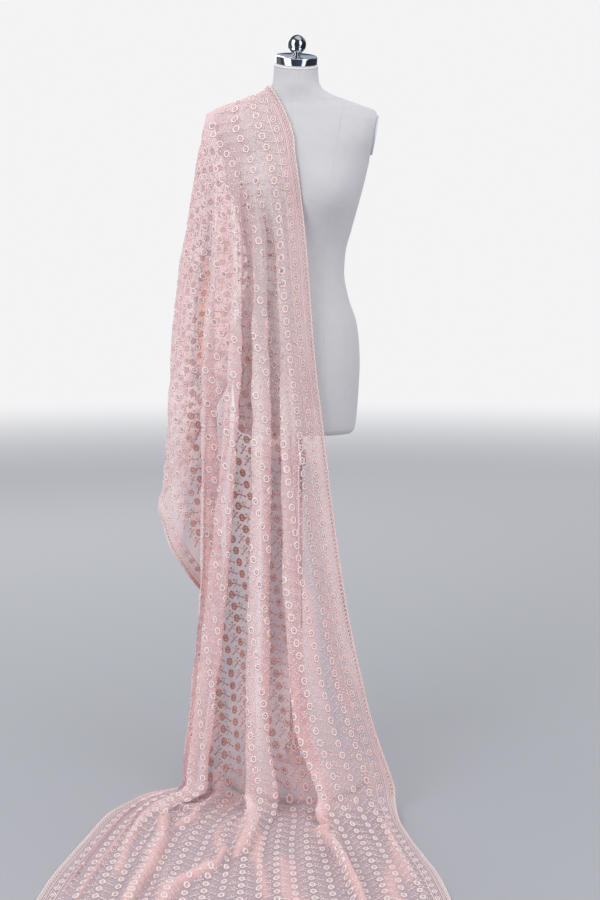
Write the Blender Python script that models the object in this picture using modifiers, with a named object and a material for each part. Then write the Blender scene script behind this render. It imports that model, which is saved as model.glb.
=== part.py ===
"""A dupatta stole draped over one shoulder of a limbless dress form, with its front end spread on the floor.

Metres, +Z up. The origin is on the floor under the form's pole. The form faces -Y.
The cloth is one sheet of embroidered net, cut here into one solid for each stretch that shows.
"""

import math

import bmesh
import bpy
import numpy as np
from mathutils import Matrix, Vector

MM = 0.001

# Dress form
NECK_TOP = 1.620
NECK_CUT = 1.617               # height on the axis of the plane that cuts the neck
TORSO_BOTTOM = 0.809
TORSO_ROWS = 32
TORSO_COLUMNS = 36
LIP_RADIUS = 0.0485
CAP_RADIUS = 0.046
CAP_HEIGHT = 0.017
CAP_TILT = math.radians(20.0)  # the neck is cut sloping down to the front
CAP_ROLL = math.radians(2.6)
LIP_HEIGHT = 0.004
STEM_RADIUS = 0.006
BALL_RADIUS = 0.0202
BALL_MIDDLE = 0.0235           # height of the ball's middle above the cap
ARM_PLATE_TILT = math.radians(9.6)
ARM_PLATE_AT = (0.1758, 0.0, 1.468)  # middle of the plate's outer face
ARM_PLATE_HALF = (0.036, 0.043)  # half depth and half height
ARM_PLATE_THICK = 0.005
POLE_RADIUS = 0.0145
BASE_PROFILE = ((0.0, 0.0340), (0.030, 0.0340), (0.060, 0.0300), (0.100, 0.0225), (0.140, 0.0160),
                (0.158, 0.0125), (0.1645, 0.0090), (0.165, 0.0030), (0.1635, 0.0), (0.0, 0.0))
COLLAR_RADIUS = 0.026
COLLAR_HEIGHT = 0.040
CLAMP_Z = 0.752
CLAMP_RADIUS = 0.022
CLAMP_HEIGHT = 0.034
KNOB_REACH = 0.056             # from the pole's axis to the outer end of the clamp's knob
KNOB_RADIUS = 0.012
STUD_RADIUS = 0.004
EDGE_ROUND = 1.0 * MM
TURN_STEPS = 28
GAP = 0.3 * MM

# Cloth
WALL = 1.1 * MM
SEAM = 0.3 * MM                # gap between one stretch and the next
BEND_SEAM = 1.2 * MM           # the same between the middles of two walls that meet at a bend
CLEAR = 7.5 * MM               # from the form to the middle of the cloth
NECK_CLEAR = 7.5 * MM          # the same beside the neck
SHOULDER_CLEAR = 10.0 * MM     # the same on the shoulder, where the cloth is gathered

# Torso: height, half width, depth in front of the axis, depth behind it, squareness of the section.
TORSO_LEVELS = (
    # z,     half,   front,  back,   power
    (0.809, 0.1240, 0.0860, 0.0900, 2.15),
    (0.816, 0.1310, 0.0930, 0.0970, 2.15),
    (0.832, 0.1350, 0.0965, 0.1010, 2.15),
    (0.905, 0.1410, 0.1000, 0.1060, 2.15),
    (0.968, 0.1436, 0.1000, 0.1070, 2.15),
    (1.004, 0.1423, 0.0980, 0.1030, 2.15),
    (1.056, 0.1360, 0.0930, 0.0930, 2.15),
    (1.114, 0.1170, 0.0860, 0.0790, 2.15),
    (1.170, 0.1075, 0.0820, 0.0720, 2.15),
    (1.210, 0.1100, 0.0840, 0.0740, 2.15),
    (1.269, 0.1250, 0.0920, 0.0830, 2.20),
    (1.320, 0.1390, 0.1000, 0.0920, 2.30),
    (1.365, 0.1510, 0.1020, 0.0980, 2.40),
    (1.419, 0.1640, 0.0950, 0.1000, 2.50),
    (1.460, 0.1770, 0.0820, 0.0960, 2.80),
    (1.495, 0.1850, 0.0660, 0.0840, 2.80),
    (1.519, 0.1760, 0.0560, 0.0690, 2.40),
    (1.532, 0.1450, 0.0500, 0.0600, 2.20),
    (1.546, 0.1040, 0.0475, 0.0545, 2.10),
    (1.558, 0.0740, 0.0480, 0.0520, 2.00),
    (1.570, 0.0570, 0.0490, 0.0510, 2.00),
    (1.585, 0.0505, 0.0466, 0.0480, 2.00),
    (1.620, 0.0480, 0.0450, 0.0456, 2.00),
)
BUST = {"height": 1.330, "spread": 0.062, "angle": 34.0, "width": 26.0, "rise": 0.026}


def table_column(table, column):
    return np.array([row[column] for row in table], float)


def smooth_track(stations, values, at):
    """Values at the stations joined by a smooth curve with no overshoot, read at the places asked for."""
    stations = np.asarray(stations, float)
    values = np.asarray(values, float)
    at = np.clip(at, stations[0], stations[-1])
    steps = np.diff(stations)
    slopes = np.diff(values) / steps
    knots = np.zeros(len(stations))
    for i in range(1, len(stations) - 1):
        if slopes[i - 1] * slopes[i] > 0:
            knots[i] = 2 * slopes[i - 1] * slopes[i] / (slopes[i - 1] + slopes[i])
    knots[0] = slopes[0]
    knots[-1] = slopes[-1]
    i = np.clip(np.searchsorted(stations, at, side="right") - 1, 0, len(steps) - 1)
    t = (at - stations[i]) / steps[i]
    return (
        values[i] * (1 + 2 * t) * (1 - t) ** 2
        + steps[i] * knots[i] * t * (1 - t) ** 2
        + values[i + 1] * t * t * (3 - 2 * t)
        - steps[i] * knots[i + 1] * t * t * (1 - t)
    )


def soft_step(low, high, at):
    t = np.clip((np.asarray(at, float) - low) / (high - low), 0.0, 1.0)
    return t * t * (3 - 2 * t)


TORSO_Z = table_column(TORSO_LEVELS, 0)


def torso_size(z):
    """Half width, front depth, back depth and squareness of the torso at a height."""
    return [smooth_track(TORSO_Z, table_column(TORSO_LEVELS, c), z) for c in (1, 2, 3, 4)]


def bust_rise(x, y, z):
    angle = np.degrees(np.arctan2(np.abs(x), -y))
    across = np.exp(-(((angle - BUST["angle"]) / BUST["width"]) ** 2))
    up = np.exp(-(((z - BUST["height"]) / BUST["spread"]) ** 2))
    return BUST["rise"] * across * up


def torso_radius(angle, z):
    """Distance from the axis to the torso's skin; the angle is 0 to the front and grows towards +X."""
    half, front, back, power = torso_size(z)
    sine, cosine = np.sin(angle), np.cos(angle)
    depth = np.where(cosine > 0, front, back)
    plain = (np.abs(sine / half) ** power + np.abs(cosine / depth) ** power) ** (-1 / power)
    return plain + bust_rise(sine, -cosine, z)


def outside(points, clear):
    """The points, with those nearer the torso's skin than the clearance moved straight out to it."""
    moved = np.array(points, float)
    x, y, z = moved[..., 0], moved[..., 1], moved[..., 2]
    reach = np.hypot(x, y)
    skin = torso_radius(np.arctan2(x, -y), z) + clear
    push = np.where((reach < skin) & (z > TORSO_BOTTOM - 0.03), skin / np.maximum(reach, 1e-6), 1.0)
    moved[..., 0] = x * push
    moved[..., 1] = y * push
    return moved


SHOULDER_CORE = 0.045          # depth below the shoulder line from which the turns over it are measured
NECK_SIDE = 0.058
FORWARD_TURN = 160.0           # turn over the shoulder in which the lines would reach their places on the chest


def shoulder_point(x, turn, clear):
    """The point over the shoulder at this x. A turn of 0 is the top, 90 degrees is the front, -90 the back."""
    top = ridge_height(max(abs(x), NECK_SIDE))
    low, high = 0.0, 0.30
    for _ in range(40):
        reach = (low + high) / 2
        y = -math.sin(turn) * reach
        z = top - SHOULDER_CORE + math.cos(turn) * reach
        angle = math.atan2(x, -y if abs(y) > 1e-9 else -1e-9)
        if math.hypot(x, y) < float(torso_radius(angle, np.array(z))) + clear:
            low = reach
        else:
            high = reach
    return np.array([x, -math.sin(turn) * high, top - SHOULDER_CORE + math.cos(turn) * high])


def ridge_height(x):
    """Height of the torso's shoulder line at this x."""
    heights = np.linspace(1.50, NECK_TOP, 121)
    halves = torso_size(heights)[0]
    return float(np.interp(-abs(x), -halves, heights))


# Front of the cloth. Each row is one line that runs down the cloth, from the long edge beside the neck to the
# deep valley beside the arm. Tuck is how far the line lies behind the front of the drape, where folds are full.
LEVELS = (1.44, 1.20, 1.00, 0.82, 0.50, 0.20, 0.05)
FOLD_LINES = (
    # line,               tuck,    x at each of LEVELS
    ("edge",              0.000,   -0.003,  0.026,  0.041,  0.062,  0.1035, 0.166,  0.2175),
    ("border line",       0.003,   -0.033, -0.006,  0.010,  0.029,  0.0700, 0.132,  0.1840),
    ("soft wave",        -0.004,   -0.045, -0.022, -0.012, -0.002,  0.0250, 0.070,  0.1280),
    ("pleat 1 crest",    -0.002,   -0.056, -0.037, -0.036, -0.032, -0.0246, -0.005, 0.0477),
    ("pleat 1 return",    0.018,   -0.066, -0.040, -0.026, -0.014,  0.0060, 0.028,  0.0780),
    ("pleat 1 valley",    0.042,   -0.077, -0.060, -0.070, -0.074, -0.0770, -0.074, -0.0400),
    ("pleat 2 right",     0.008,   -0.087, -0.068, -0.058, -0.0535, -0.0555, -0.058, -0.0430),
    ("pleat 2 left",      0.000,   -0.098, -0.0885, -0.094, -0.0945, -0.1020, -0.110, -0.1050),
    ("pleat 2 return",    0.024,   -0.107, -0.092, -0.082, -0.078, -0.0840, -0.090, -0.0880),
    ("window",            0.044,   -0.116, -0.103, -0.104, -0.106, -0.1220, -0.140, -0.1450),
    ("pleat 3 neck",      0.034,   -0.125, -0.115, -0.125, -0.137, -0.1620, -0.194, -0.2080),
    ("pleat 3 right",     0.006,   -0.134, -0.119, -0.117, -0.128, -0.1500, -0.182, -0.1980),
    ("pleat 3 left",      0.000,   -0.144, -0.129, -0.144, -0.1585, -0.1940, -0.2266, -0.2450),
    ("pleat 3 return",    0.017,   -0.153, -0.135, -0.134, -0.147, -0.1790, -0.212, -0.2310),
    ("groove",            0.021,   -0.163, -0.158, -0.176, -0.192, -0.2020, -0.230, -0.2500),
    ("pleat 4 left",      0.016,   -0.173, -0.181, -0.2035, -0.208, -0.2134, -0.240, -0.2580),
    ("valley",            0.055,   -0.181, -0.174, -0.180, -0.176, -0.1680, -0.200, -0.2250),
)
EDGE = 0
VALLEY = len(FOLD_LINES) - 1
RIDGE_X = (-0.0625, -0.176)     # the cloth on the shoulder line, from the neck to the tip
FOLDS_FULL = (1.42, 1.12)      # heights between which the gathers grow to their full depth
FOLDS_FREE = (0.60, 0.95)      # heights between which they deepen again, below the form
FREE_DEPTH = 1.5               # how much deeper they are there

# How far in front of the axis the drape hangs: at the long edge, in the middle and at the pleats by the arm.
FRONT_LINE = (
    # z,   edge,   middle, arm side
    (1.44, 0.090, 0.095, 0.062),
    (1.20, 0.118, 0.125, 0.100),
    (1.00, 0.112, 0.130, 0.102),
    (0.82, 0.115, 0.140, 0.100),
    (0.50, 0.140, 0.170, 0.100),
    (0.20, 0.175, 0.215, 0.098),
    (0.05, 0.190, 0.243, 0.092),
)

# Rows of the grid: over the shoulder by angle, then down the front by height.
TURNS = (0.0, 25.0, 52.0, 80.0)
DROPS = (1.455, 1.42, 1.37, 1.31, 1.24, 1.16, 1.07, 0.98, 0.88, 0.78, 0.68, 0.58, 0.49, 0.40)
LOW_DROPS = (0.33, 0.26, 0.19, 0.13, 0.08, 0.045)

# The side fold, where the cloth that hangs off the shoulder turns round to the back: height, x.
SIDE_FOLD = (
    (0.635, -0.315),
    (0.700, -0.303),
    (0.790, -0.294),
    (0.928, -0.2865),
    (1.013, -0.280),
    (1.098, -0.272),
    (1.170, -0.2625),
    (1.240, -0.250),
    (1.367, -0.2265),
    (1.434, -0.2145),
    (1.478, -0.205),
    (1.511, -0.198),
)
# Height of the side fold for each height of the valley line on the same row.
SIDE_DROP = ((0.40, 0.635), (0.56, 0.72), (0.72, 0.83), (0.88, 0.945), (1.04, 1.075), (1.20, 1.22),
             (1.38, 1.385), (1.455, 1.452), (1.53, 1.511))
# Lines of the side swag between the valley and the side fold: share of the way across, of the way down, and depth.
SWAG_LINES = (
    ("swag front", 0.40, 0.30, 0.052),
    ("swag side",  0.82, 0.66, 0.034),
)

BUNCH = {"x": 0.005, "y": 0.118, "z": 1.25, "radius": 0.030, "pleats": 9, "depth": 0.014}
BUNCH_TURN = (75.0, 250.0)     # the arc where the back of the cloth meets the bunch, in degrees from +X
TAIL = {"width": 0.052, "depth": 0.017, "short": 0.16, "long": 0.30, "flare": 1.6, "out": 0.0255,
        "lean": 0.006, "rise": 0.020}
BACK_ROWS = 10
BACK_BELLY = ((0.16, 0.045, 0.004), (0.50, 0.050, 0.020), (0.80, 0.028, 0.012))  # share of the way, out, sag
BACK_LEAN = 0.24               # how far the back of the cloth leans towards the bunch as it leaves the shoulder

TAIL_ROWS = (0.0, 0.25, 0.5, 0.75, 1.0)

# The cloth on the floor: its two long edges, how far it reaches, and the folds that stand up on it.
FLOOR_RIGHT = ((0.2175, -0.185), (0.230, -0.280), (0.2435, -0.368), (0.277, -0.497), (0.289, -0.602),
               (0.300, -0.800))
FLOOR_LEFT = ((-0.290, -0.060), (-0.3275, -0.0995), (-0.403, -0.211), (-0.4415, -0.368), (-0.474, -0.538),
              (-0.480, -0.602), (-0.487, -0.800))
FLOOR_END = 0.80
FLOOR_ROWS = (0.0, 0.03, 0.07, 0.13, 0.20, 0.28, 0.38, 0.50, 0.65, 0.82, 1.0)
FLOOR_RIDGES = (
    ("right fold", 0.014,
     ((0.056, -0.285), (0.066, -0.320), (0.083, -0.413), (0.105, -0.524), (0.115, -0.640))),
    ("middle fold", 0.018,
     ((-0.085, -0.270), (-0.092, -0.301), (-0.128, -0.411), (-0.190, -0.485), (-0.271, -0.597))),
    ("left fold", 0.014,
     ((-0.275, -0.200), (-0.283, -0.287), (-0.291, -0.418), (-0.3025, -0.536), (-0.310, -0.640))),
)
RIDGE_HALF = 0.013
LANDING = {"set_back": 0.010, "lift": 0.019, "run": 0.055, "full_tuck": 0.034, "toe": 0.004, "toe_run": 0.020}

SUB = 3                        # columns of the grid between one fold line and the next
SHOULDER_END = 1.42            # height in front where the shoulder's stretch ends
SWAG_SEAM = 2                  # columns past the valley where the side swag starts
CUTTER_SIDE = 0.6


def spline(points, steps):
    """A smooth curve through the points, with this many steps between one and the next."""
    points = np.asarray(points, float)
    before = 2 * points[0] - points[1]
    after = 2 * points[-1] - points[-2]
    full = np.concatenate([before[None], points, after[None]])
    reach = np.sqrt(np.maximum(np.linalg.norm(np.diff(full, axis=0), axis=1), 1e-5))
    out = []
    for i in range(1, len(full) - 2):
        span = reach[i]
        lean = (full[i] - full[i - 1]) / reach[i - 1] - (full[i + 1] - full[i - 1]) / (reach[i - 1] + span)
        start = (lean + (full[i + 1] - full[i]) / span) * span
        lean = (full[i + 1] - full[i]) / span - (full[i + 2] - full[i]) / (span + reach[i + 1])
        stop = (lean + (full[i + 2] - full[i + 1]) / reach[i + 1]) * span
        for step in range(steps):
            t = step / steps
            out.append(
                (2 * t**3 - 3 * t * t + 1) * full[i] + (t**3 - 2 * t * t + t) * start
                + (3 * t * t - 2 * t**3) * full[i + 1] + (t**3 - t * t) * stop
            )
    out.append(full[-2])
    return np.array(out)


def line_x(line, z):
    levels = np.array(LEVELS[::-1])
    return float(smooth_track(levels, np.array(FOLD_LINES[line][2:][::-1]), z))


def front_depth(line, z):
    """Distance of a fold line in front of the axis, before it is kept clear of the form."""
    levels = table_column(FRONT_LINE, 0)[::-1]
    at_edge, middle, at_arm = [smooth_track(levels, table_column(FRONT_LINE, c)[::-1], z) for c in (1, 2, 3)]
    first = line_x(EDGE, z)
    last = line_x(VALLEY - 1, z)
    share = np.clip((line_x(line, z) - first) / (last - first), 0.0, 1.05)
    depth = smooth_track((0.0, 0.45, 1.05), (at_edge, middle, at_arm), share)
    grown = 1 - soft_step(FOLDS_FULL[1], FOLDS_FULL[0], z)
    grown *= FREE_DEPTH - (FREE_DEPTH - 1) * soft_step(FOLDS_FREE[0], FOLDS_FREE[1], z)
    return float(depth) - FOLD_LINES[line][1] * float(grown)


def side_fold(z_valley):
    """The point of the side fold on the row whose valley line is at this height."""
    drop = np.array(SIDE_DROP)
    z = float(smooth_track(drop[:, 0], drop[:, 1], z_valley))
    fold = np.array(SIDE_FOLD)
    return np.array([float(smooth_track(fold[:, 0], fold[:, 1], z)), 0.0, z])


def swag_points(valley, fold, z_valley):
    """The two lines of the swag and the side fold, on the row that starts at this point of the valley."""
    rounding = float(soft_step(1.54, 1.40, z_valley))
    points = []
    for _, across, down, depth in SWAG_LINES:
        x = valley[0] + (fold[0] - valley[0]) * across
        z = valley[2] + (fold[2] - valley[2]) * down
        plain = valley[1] * (1 - across)
        points.append(np.array([x, plain + (-depth - plain) * rounding, z]))
    points.append(fold)
    return points


def front_row(z):
    """The fold lines' points at one height, from the long edge to the valley."""
    points = [(line_x(i, z), -front_depth(i, z), z) for i in range(len(FOLD_LINES))]
    return outside(np.array(points), CLEAR)


def shoulder_row(turn):
    """The fold lines' points on the shoulder, at this angle from its top. A negative angle is behind it."""
    start = np.linspace(RIDGE_X[0], RIDGE_X[1], len(FOLD_LINES))
    if turn < 0:
        lean = BACK_LEAN * (-turn / TURNS[-1]) ** 1.3 * soft_step(NECK_SIDE, 2 * NECK_SIDE, -start)
        across = start + (BUNCH["x"] - start) * lean
    else:
        first = np.array([row[2] for row in FOLD_LINES])
        across = start + (first - start) * float(soft_step(0.0, FORWARD_TURN, turn))
    clear = NECK_CLEAR + (SHOULDER_CLEAR - NECK_CLEAR) * soft_step(NECK_SIDE, 1.5 * NECK_SIDE, -across)
    return np.array([shoulder_point(x, math.radians(turn), up) for x, up in zip(across, clear)])


def shoulder_back(sub):
    """The cloth behind the shoulder line: rows from there down, columns as in the front grid."""
    return np.array([spline(shoulder_row(-turn), sub) for turn in TURNS])


def cloth_rows():
    """Every row's points, and the height of its valley line."""
    rows = [(shoulder_row(turn), 1.53 - (1.53 - DROPS[0]) * turn / 95.0) for turn in TURNS]
    rows += [(front_row(z), z) for z in DROPS]
    return rows


def front_grid(sub):
    """The cloth in front of the shoulder line: rows down, columns from the long edge to the side fold."""
    grid = []
    for points, z_valley in cloth_rows():
        swag = swag_points(points[-1], side_fold(z_valley), z_valley)
        beyond = swag[-2] * [1, -1, 1]
        line = spline(list(points) + swag + [beyond], sub)
        grid.append(line[: (len(FOLD_LINES) + 2) * sub + 1])
    return np.array(grid)


def resample(points, steps):
    """Points evenly spaced along the smooth curve through these."""
    fine = spline(points, 8)
    reach = np.concatenate([[0.0], np.cumsum(np.linalg.norm(np.diff(fine, axis=0), axis=1))])
    at = np.linspace(0.0, reach[-1], steps + 1)
    return np.stack([np.interp(at, reach, fine[:, c]) for c in range(3)], axis=1)


def bunch_point(share):
    """Where a line of the cloth reaches the bunch behind the shoulders; the share runs across the cloth."""
    fold = math.sin(2 * math.pi * BUNCH["pleats"] * share)
    turn = math.radians(BUNCH_TURN[0] + (BUNCH_TURN[1] - BUNCH_TURN[0]) * share)
    x = BUNCH["x"] + BUNCH["radius"] * math.cos(turn)
    z = BUNCH["z"] + BUNCH["radius"] * math.sin(turn)
    return np.array([x, BUNCH["y"] + BUNCH["depth"] * fold, z])


def chords_cut(points, cuts):
    """The points with more put on the straight lines between them."""
    steps = [points[:-1] + (points[1:] - points[:-1]) * (cut / cuts) for cut in range(cuts)]
    return np.concatenate([np.stack(steps, axis=1).reshape(-1, 3), points[-1:]])


def back_grid(front, sub):
    """The cloth behind the shoulder line and the side fold: one row a line, from there to the bunch."""
    side_start = VALLEY * sub
    ridge = front[0, : side_start + 1 : sub]
    side = np.concatenate([front[0, side_start + 1 :], chords_cut(front[:, -1], 2)[1:]])
    starts = np.concatenate([ridge, side])
    lengths = np.linalg.norm(np.diff(starts, axis=0), axis=1)
    share = np.concatenate([[0.0], np.cumsum(lengths)]) / lengths.sum()
    turns = len(TURNS) - 1
    behind = shoulder_back(sub)[:, ::sub]
    lines = []
    for start, across in zip(starts, share):
        end = bunch_point(across)
        if len(lines) < len(ridge):
            turned = list(behind[1:, len(lines)])
            middle = (turned[-1] + end) / 2 + [0.0, 0.012, 0.0]
            rest = resample([turned[-1], middle, end], BACK_ROWS - turns)[1:]
            lines.append(np.concatenate([[start], turned, rest]))
            continue
        reach = end - start
        way = [start + reach * share_of_way + [0.0, out, -sag] for share_of_way, out, sag in BACK_BELLY]
        lines.append(resample([start, *way, end], BACK_ROWS))
    grid = np.array(lines)
    fixed = len(ridge)
    for _ in range(12):
        level = grid[1:-1] + 0.6 * ((grid[:-2] + grid[2:]) / 2 - grid[1:-1])
        grid[1:fixed, turns + 1 : -1] = level[: fixed - 1, turns + 1 : -1]
        grid[fixed:-1, 1:-1] = level[fixed - 1 :, 1:-1]
    gather = np.linspace(0.0, 1.0, BACK_ROWS + 1) ** 2.2
    fold = np.sin(2 * np.pi * BUNCH["pleats"] * share)[:, None] * gather[None, :]
    grid[:fixed, turns + 1 : -1, 1] += BUNCH["depth"] * fold[:fixed, turns + 1 : -1]
    grid[fixed:, 1:-1, 1] += BUNCH["depth"] * fold[fixed:, 1:-1]
    grid[:, 1:-1] = outside(grid[:, 1:-1], CLEAR)
    return grid, share


def tail_grid(sub):
    """The free end that hangs from the bunch in pleats: one row a line, from the bunch to the back end."""
    lines = []
    count = BUNCH["pleats"] * 2 * sub + 1
    for i in range(count):
        share = i / (count - 1)
        fold = math.sin(2 * math.pi * BUNCH["pleats"] * share)
        length = TAIL["short"] + (TAIL["long"] - TAIL["short"]) * share
        line = []
        for drop in TAIL_ROWS:
            spread = TAIL["width"] * (1 + (TAIL["flare"] - 1) * drop)
            x = BUNCH["x"] + (0.5 - share) * spread
            depth = TAIL["depth"] * (0.4 + 0.6 * min(1.0, 1.5 * drop))
            y = BUNCH["y"] + TAIL["out"] - TAIL["lean"] * drop + depth * fold
            line.append([x, y, BUNCH["z"] + TAIL["rise"] - length * drop])
        lines.append(line)
    return np.array(lines)


def low_grid(sub):
    """The front fall below the side swag: rows down to the floor."""
    return np.array([spline(front_row(z), sub) for z in LOW_DROPS])


def floor_edge(points, y):
    points = np.array(points)
    return float(smooth_track(-points[:, 1], points[:, 0], -y))


def floor_grid(last_row, sub):
    """The cloth on the floor: rows from where the front fall lands to the front end."""
    lines = last_row[::sub]
    lengths = np.linalg.norm(np.diff(last_row, axis=0), axis=1)
    reach = np.concatenate([[0.0], np.cumsum(lengths)])
    share = (reach / reach[-1])[::sub]
    rows = []
    for advance in FLOOR_ROWS:
        points = []
        for i, (landing, across) in enumerate(zip(lines, share)):
            start = landing[1] - LANDING["set_back"]
            y = start + (-FLOOR_END - start) * advance
            gone = start - y
            right = floor_edge(FLOOR_RIGHT, y)
            left = floor_edge(FLOOR_LEFT, y)
            laid = right + (left - right) * across
            spread = float(soft_step(-0.01, 0.05 + 0.11 * (1 - across), gone))
            x = landing[0] + (laid - landing[0]) * spread
            flat = 1 - FOLD_LINES[i][1] / LANDING["full_tuck"]
            lift = LANDING["lift"] * math.exp(-((gone / LANDING["run"]) ** 1.5)) * flat
            toe = LANDING["toe"] * math.exp(-gone / LANDING["toe_run"])
            points.append([x, y, WALL / 2 + max(lift, 0.0) + toe])
        rows.append(spline(points, sub))
    grid = np.array(rows)
    for ridge in FLOOR_RIDGES:
        path = np.array(ridge[2])
        at = smooth_track(-path[:, 1], path[:, 0], -grid[..., 1])
        along = soft_step(path[0, 1] + 0.02, path[0, 1] - 0.07, grid[..., 1])
        rise = ridge[1] * np.exp(-(((grid[..., 0] - at) / RIDGE_HALF) ** 2)) * along
        grid[..., 2] += rise
    grid[..., 2] = np.maximum(grid[..., 2], WALL / 2)
    return grid


def cleared_collections():
    """An empty scene, with a collection for the parts and one for the cutters."""
    for item in list(bpy.data.objects):
        bpy.data.objects.remove(item)
    for item in list(bpy.data.collections):
        bpy.data.collections.remove(item)
    made = []
    for name in ("dupatta_stole_on_dress_form", "cutters"):
        made.append(bpy.data.collections.new(name))
        bpy.context.scene.collection.children.link(made[-1])
    return made


def surface(name, colour, roughness, metallic=0.0, sheen=0.0):
    material = bpy.data.materials.new(name)
    material.use_nodes = True
    shader = material.node_tree.nodes["Principled BSDF"]
    shader.inputs["Base Color"].default_value = (*colour, 1.0)
    shader.inputs["Roughness"].default_value = roughness
    shader.inputs["Metallic"].default_value = metallic
    shader.inputs["Sheen Weight"].default_value = sheen
    material.diffuse_color = (*colour, 1.0)
    return material


def placed(name, mesh, material, collection):
    data = bpy.data.meshes.new(name)
    mesh.to_mesh(data)
    mesh.free()
    piece = bpy.data.objects.new(name, data)
    collection.objects.link(piece)
    if material:
        data.materials.append(material)
    return piece


def rounded(piece, width, segments=1):
    edge = piece.modifiers.new("Rounded edges", "BEVEL")
    edge.width = width
    edge.segments = segments
    edge.limit_method = "ANGLE"
    edge.angle_limit = math.radians(40.0)


def turned(name, profile, material, steps=TURN_STEPS):
    """A solid turned about the Z axis from a profile of radii and heights that runs from its top to its bottom."""
    mesh = bmesh.new()
    verts = [mesh.verts.new((radius, 0.0, height)) for radius, height in profile]
    for first, second in zip(verts, verts[1:]):
        mesh.edges.new((first, second))
    piece = placed(name, mesh, material, PARTS)
    screw = piece.modifiers.new("Turned", "SCREW")
    screw.axis = "Z"
    screw.angle = 2 * math.pi
    screw.steps = steps
    screw.render_steps = steps
    screw.use_merge_vertices = True
    screw.merge_threshold = 1e-5
    return piece


def ring(name, inner, outer, low, high, material):
    """A ring about the Z axis, its profile closed on itself."""
    mesh = bmesh.new()
    corners = ((inner, high), (outer, high), (outer, low), (inner, low))
    verts = [mesh.verts.new((radius, 0.0, height)) for radius, height in corners]
    for first, second in zip(verts, verts[1:] + verts[:1]):
        mesh.edges.new((first, second))
    piece = placed(name, mesh, material, PARTS)
    screw = piece.modifiers.new("Turned", "SCREW")
    screw.axis = "Z"
    screw.angle = 2 * math.pi
    screw.steps = TURN_STEPS
    screw.render_steps = TURN_STEPS
    screw.use_merge_vertices = True
    screw.merge_threshold = 1e-5
    rounded(piece, EDGE_ROUND)
    return piece


def torso_shell(rings, name, material):
    """The solid inside a stack of rings, with flat ends."""
    mesh = bmesh.new()
    rows = [[mesh.verts.new(point) for point in row] for row in rings]
    count = len(rows[0])
    for lower, upper in zip(rows, rows[1:]):
        for i in range(count):
            j = (i + 1) % count
            mesh.faces.new((lower[i], lower[j], upper[j], upper[i]))
    mesh.faces.new(rows[0][::-1])
    mesh.faces.new(rows[-1])
    bmesh.ops.recalc_face_normals(mesh, faces=mesh.faces)
    return placed(name, mesh, material, PARTS)


def cut_off(piece, name, place, normal):
    """Cuts away what lies beyond a plane, with a wide slab that stands on the plane."""
    mesh = bmesh.new()
    bmesh.ops.create_cube(mesh, size=CUTTER_SIDE)
    bmesh.ops.translate(mesh, verts=mesh.verts, vec=(0.0, 0.0, CUTTER_SIDE / 2))
    turn = Vector((0.0, 0.0, 1.0)).rotation_difference(Vector(normal))
    bmesh.ops.transform(mesh, matrix=Matrix.Translation(place) @ turn.to_matrix().to_4x4(), verts=mesh.verts)
    cutter = placed(name, mesh, None, CUTTERS)
    cutter.hide_render = True
    cutter.display_type = "WIRE"
    cut = piece.modifiers.new(name, "BOOLEAN")
    cut.operation = "DIFFERENCE"
    cut.solver = "EXACT"
    cut.object = cutter


def neck_axis():
    """The direction square to the cut across the neck."""
    return Vector((math.sin(CAP_ROLL), -math.sin(CAP_TILT), math.cos(CAP_TILT))).normalized()


def on_neck(piece, reach):
    """Stands a piece turned about Z on the neck's cut, this far above it."""
    axis = neck_axis()
    turn = Vector((0.0, 0.0, 1.0)).rotation_difference(axis)
    place = Vector((0.0, 0.0, NECK_CUT)) + axis * reach
    piece.matrix_world = Matrix.Translation(place) @ turn.to_matrix().to_4x4()


def arm_normal(side):
    return Vector((side * math.cos(ARM_PLATE_TILT), 0.0, -math.sin(ARM_PLATE_TILT)))


def arm_plate(side, name, material):
    """The oval plate that closes an armhole: its outer face leans out at the top."""
    mesh = bmesh.new()
    bmesh.ops.create_cone(mesh, cap_ends=True, segments=TURN_STEPS, radius1=1.0, radius2=1.0, depth=ARM_PLATE_THICK)
    scale = Matrix.Diagonal((ARM_PLATE_HALF[1], ARM_PLATE_HALF[0], 1.0, 1.0))
    stand = Vector((0.0, 0.0, 1.0)).rotation_difference(arm_normal(side)).to_matrix().to_4x4()
    face = Vector((side * ARM_PLATE_AT[0], ARM_PLATE_AT[1], ARM_PLATE_AT[2]))
    middle = face - arm_normal(side) * (ARM_PLATE_THICK / 2)
    bmesh.ops.transform(mesh, matrix=Matrix.Translation(middle) @ stand @ scale, verts=mesh.verts)
    bmesh.ops.recalc_face_normals(mesh, faces=mesh.faces)
    piece = placed(name, mesh, material, PARTS)
    rounded(piece, EDGE_ROUND)
    return piece


def torso(material):
    heights = np.concatenate([
        [TORSO_LEVELS[0][0], 0.8115, TORSO_LEVELS[1][0], 0.823],
        np.linspace(TORSO_LEVELS[2][0], 1.495, TORSO_ROWS - 14),
        [1.507, 1.519, 1.526, 1.532, 1.539, 1.546, 1.552, 1.558, 1.570, 1.585, NECK_TOP + 0.02],
    ])
    angles = np.linspace(0.0, 2 * np.pi, TORSO_COLUMNS + 1)[:-1]
    rings = []
    for z in heights:
        radius = torso_radius(angles, np.full(len(angles), min(z, NECK_TOP)))
        rings.append(np.stack([radius * np.sin(angles), -radius * np.cos(angles), np.full(len(angles), z)], axis=1))
    piece = torso_shell(rings, "torso", material)
    cut_off(piece, "neck_cutter", Vector((0.0, 0.0, NECK_CUT)), neck_axis())
    for side, name in ((1, "right_arm_cutter"), (-1, "left_arm_cutter")):
        back = ARM_PLATE_THICK + GAP
        place = Vector((side * ARM_PLATE_AT[0], 0.0, ARM_PLATE_AT[2])) - arm_normal(side) * back
        cut_off(piece, name, place, arm_normal(side))
    return piece


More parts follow.
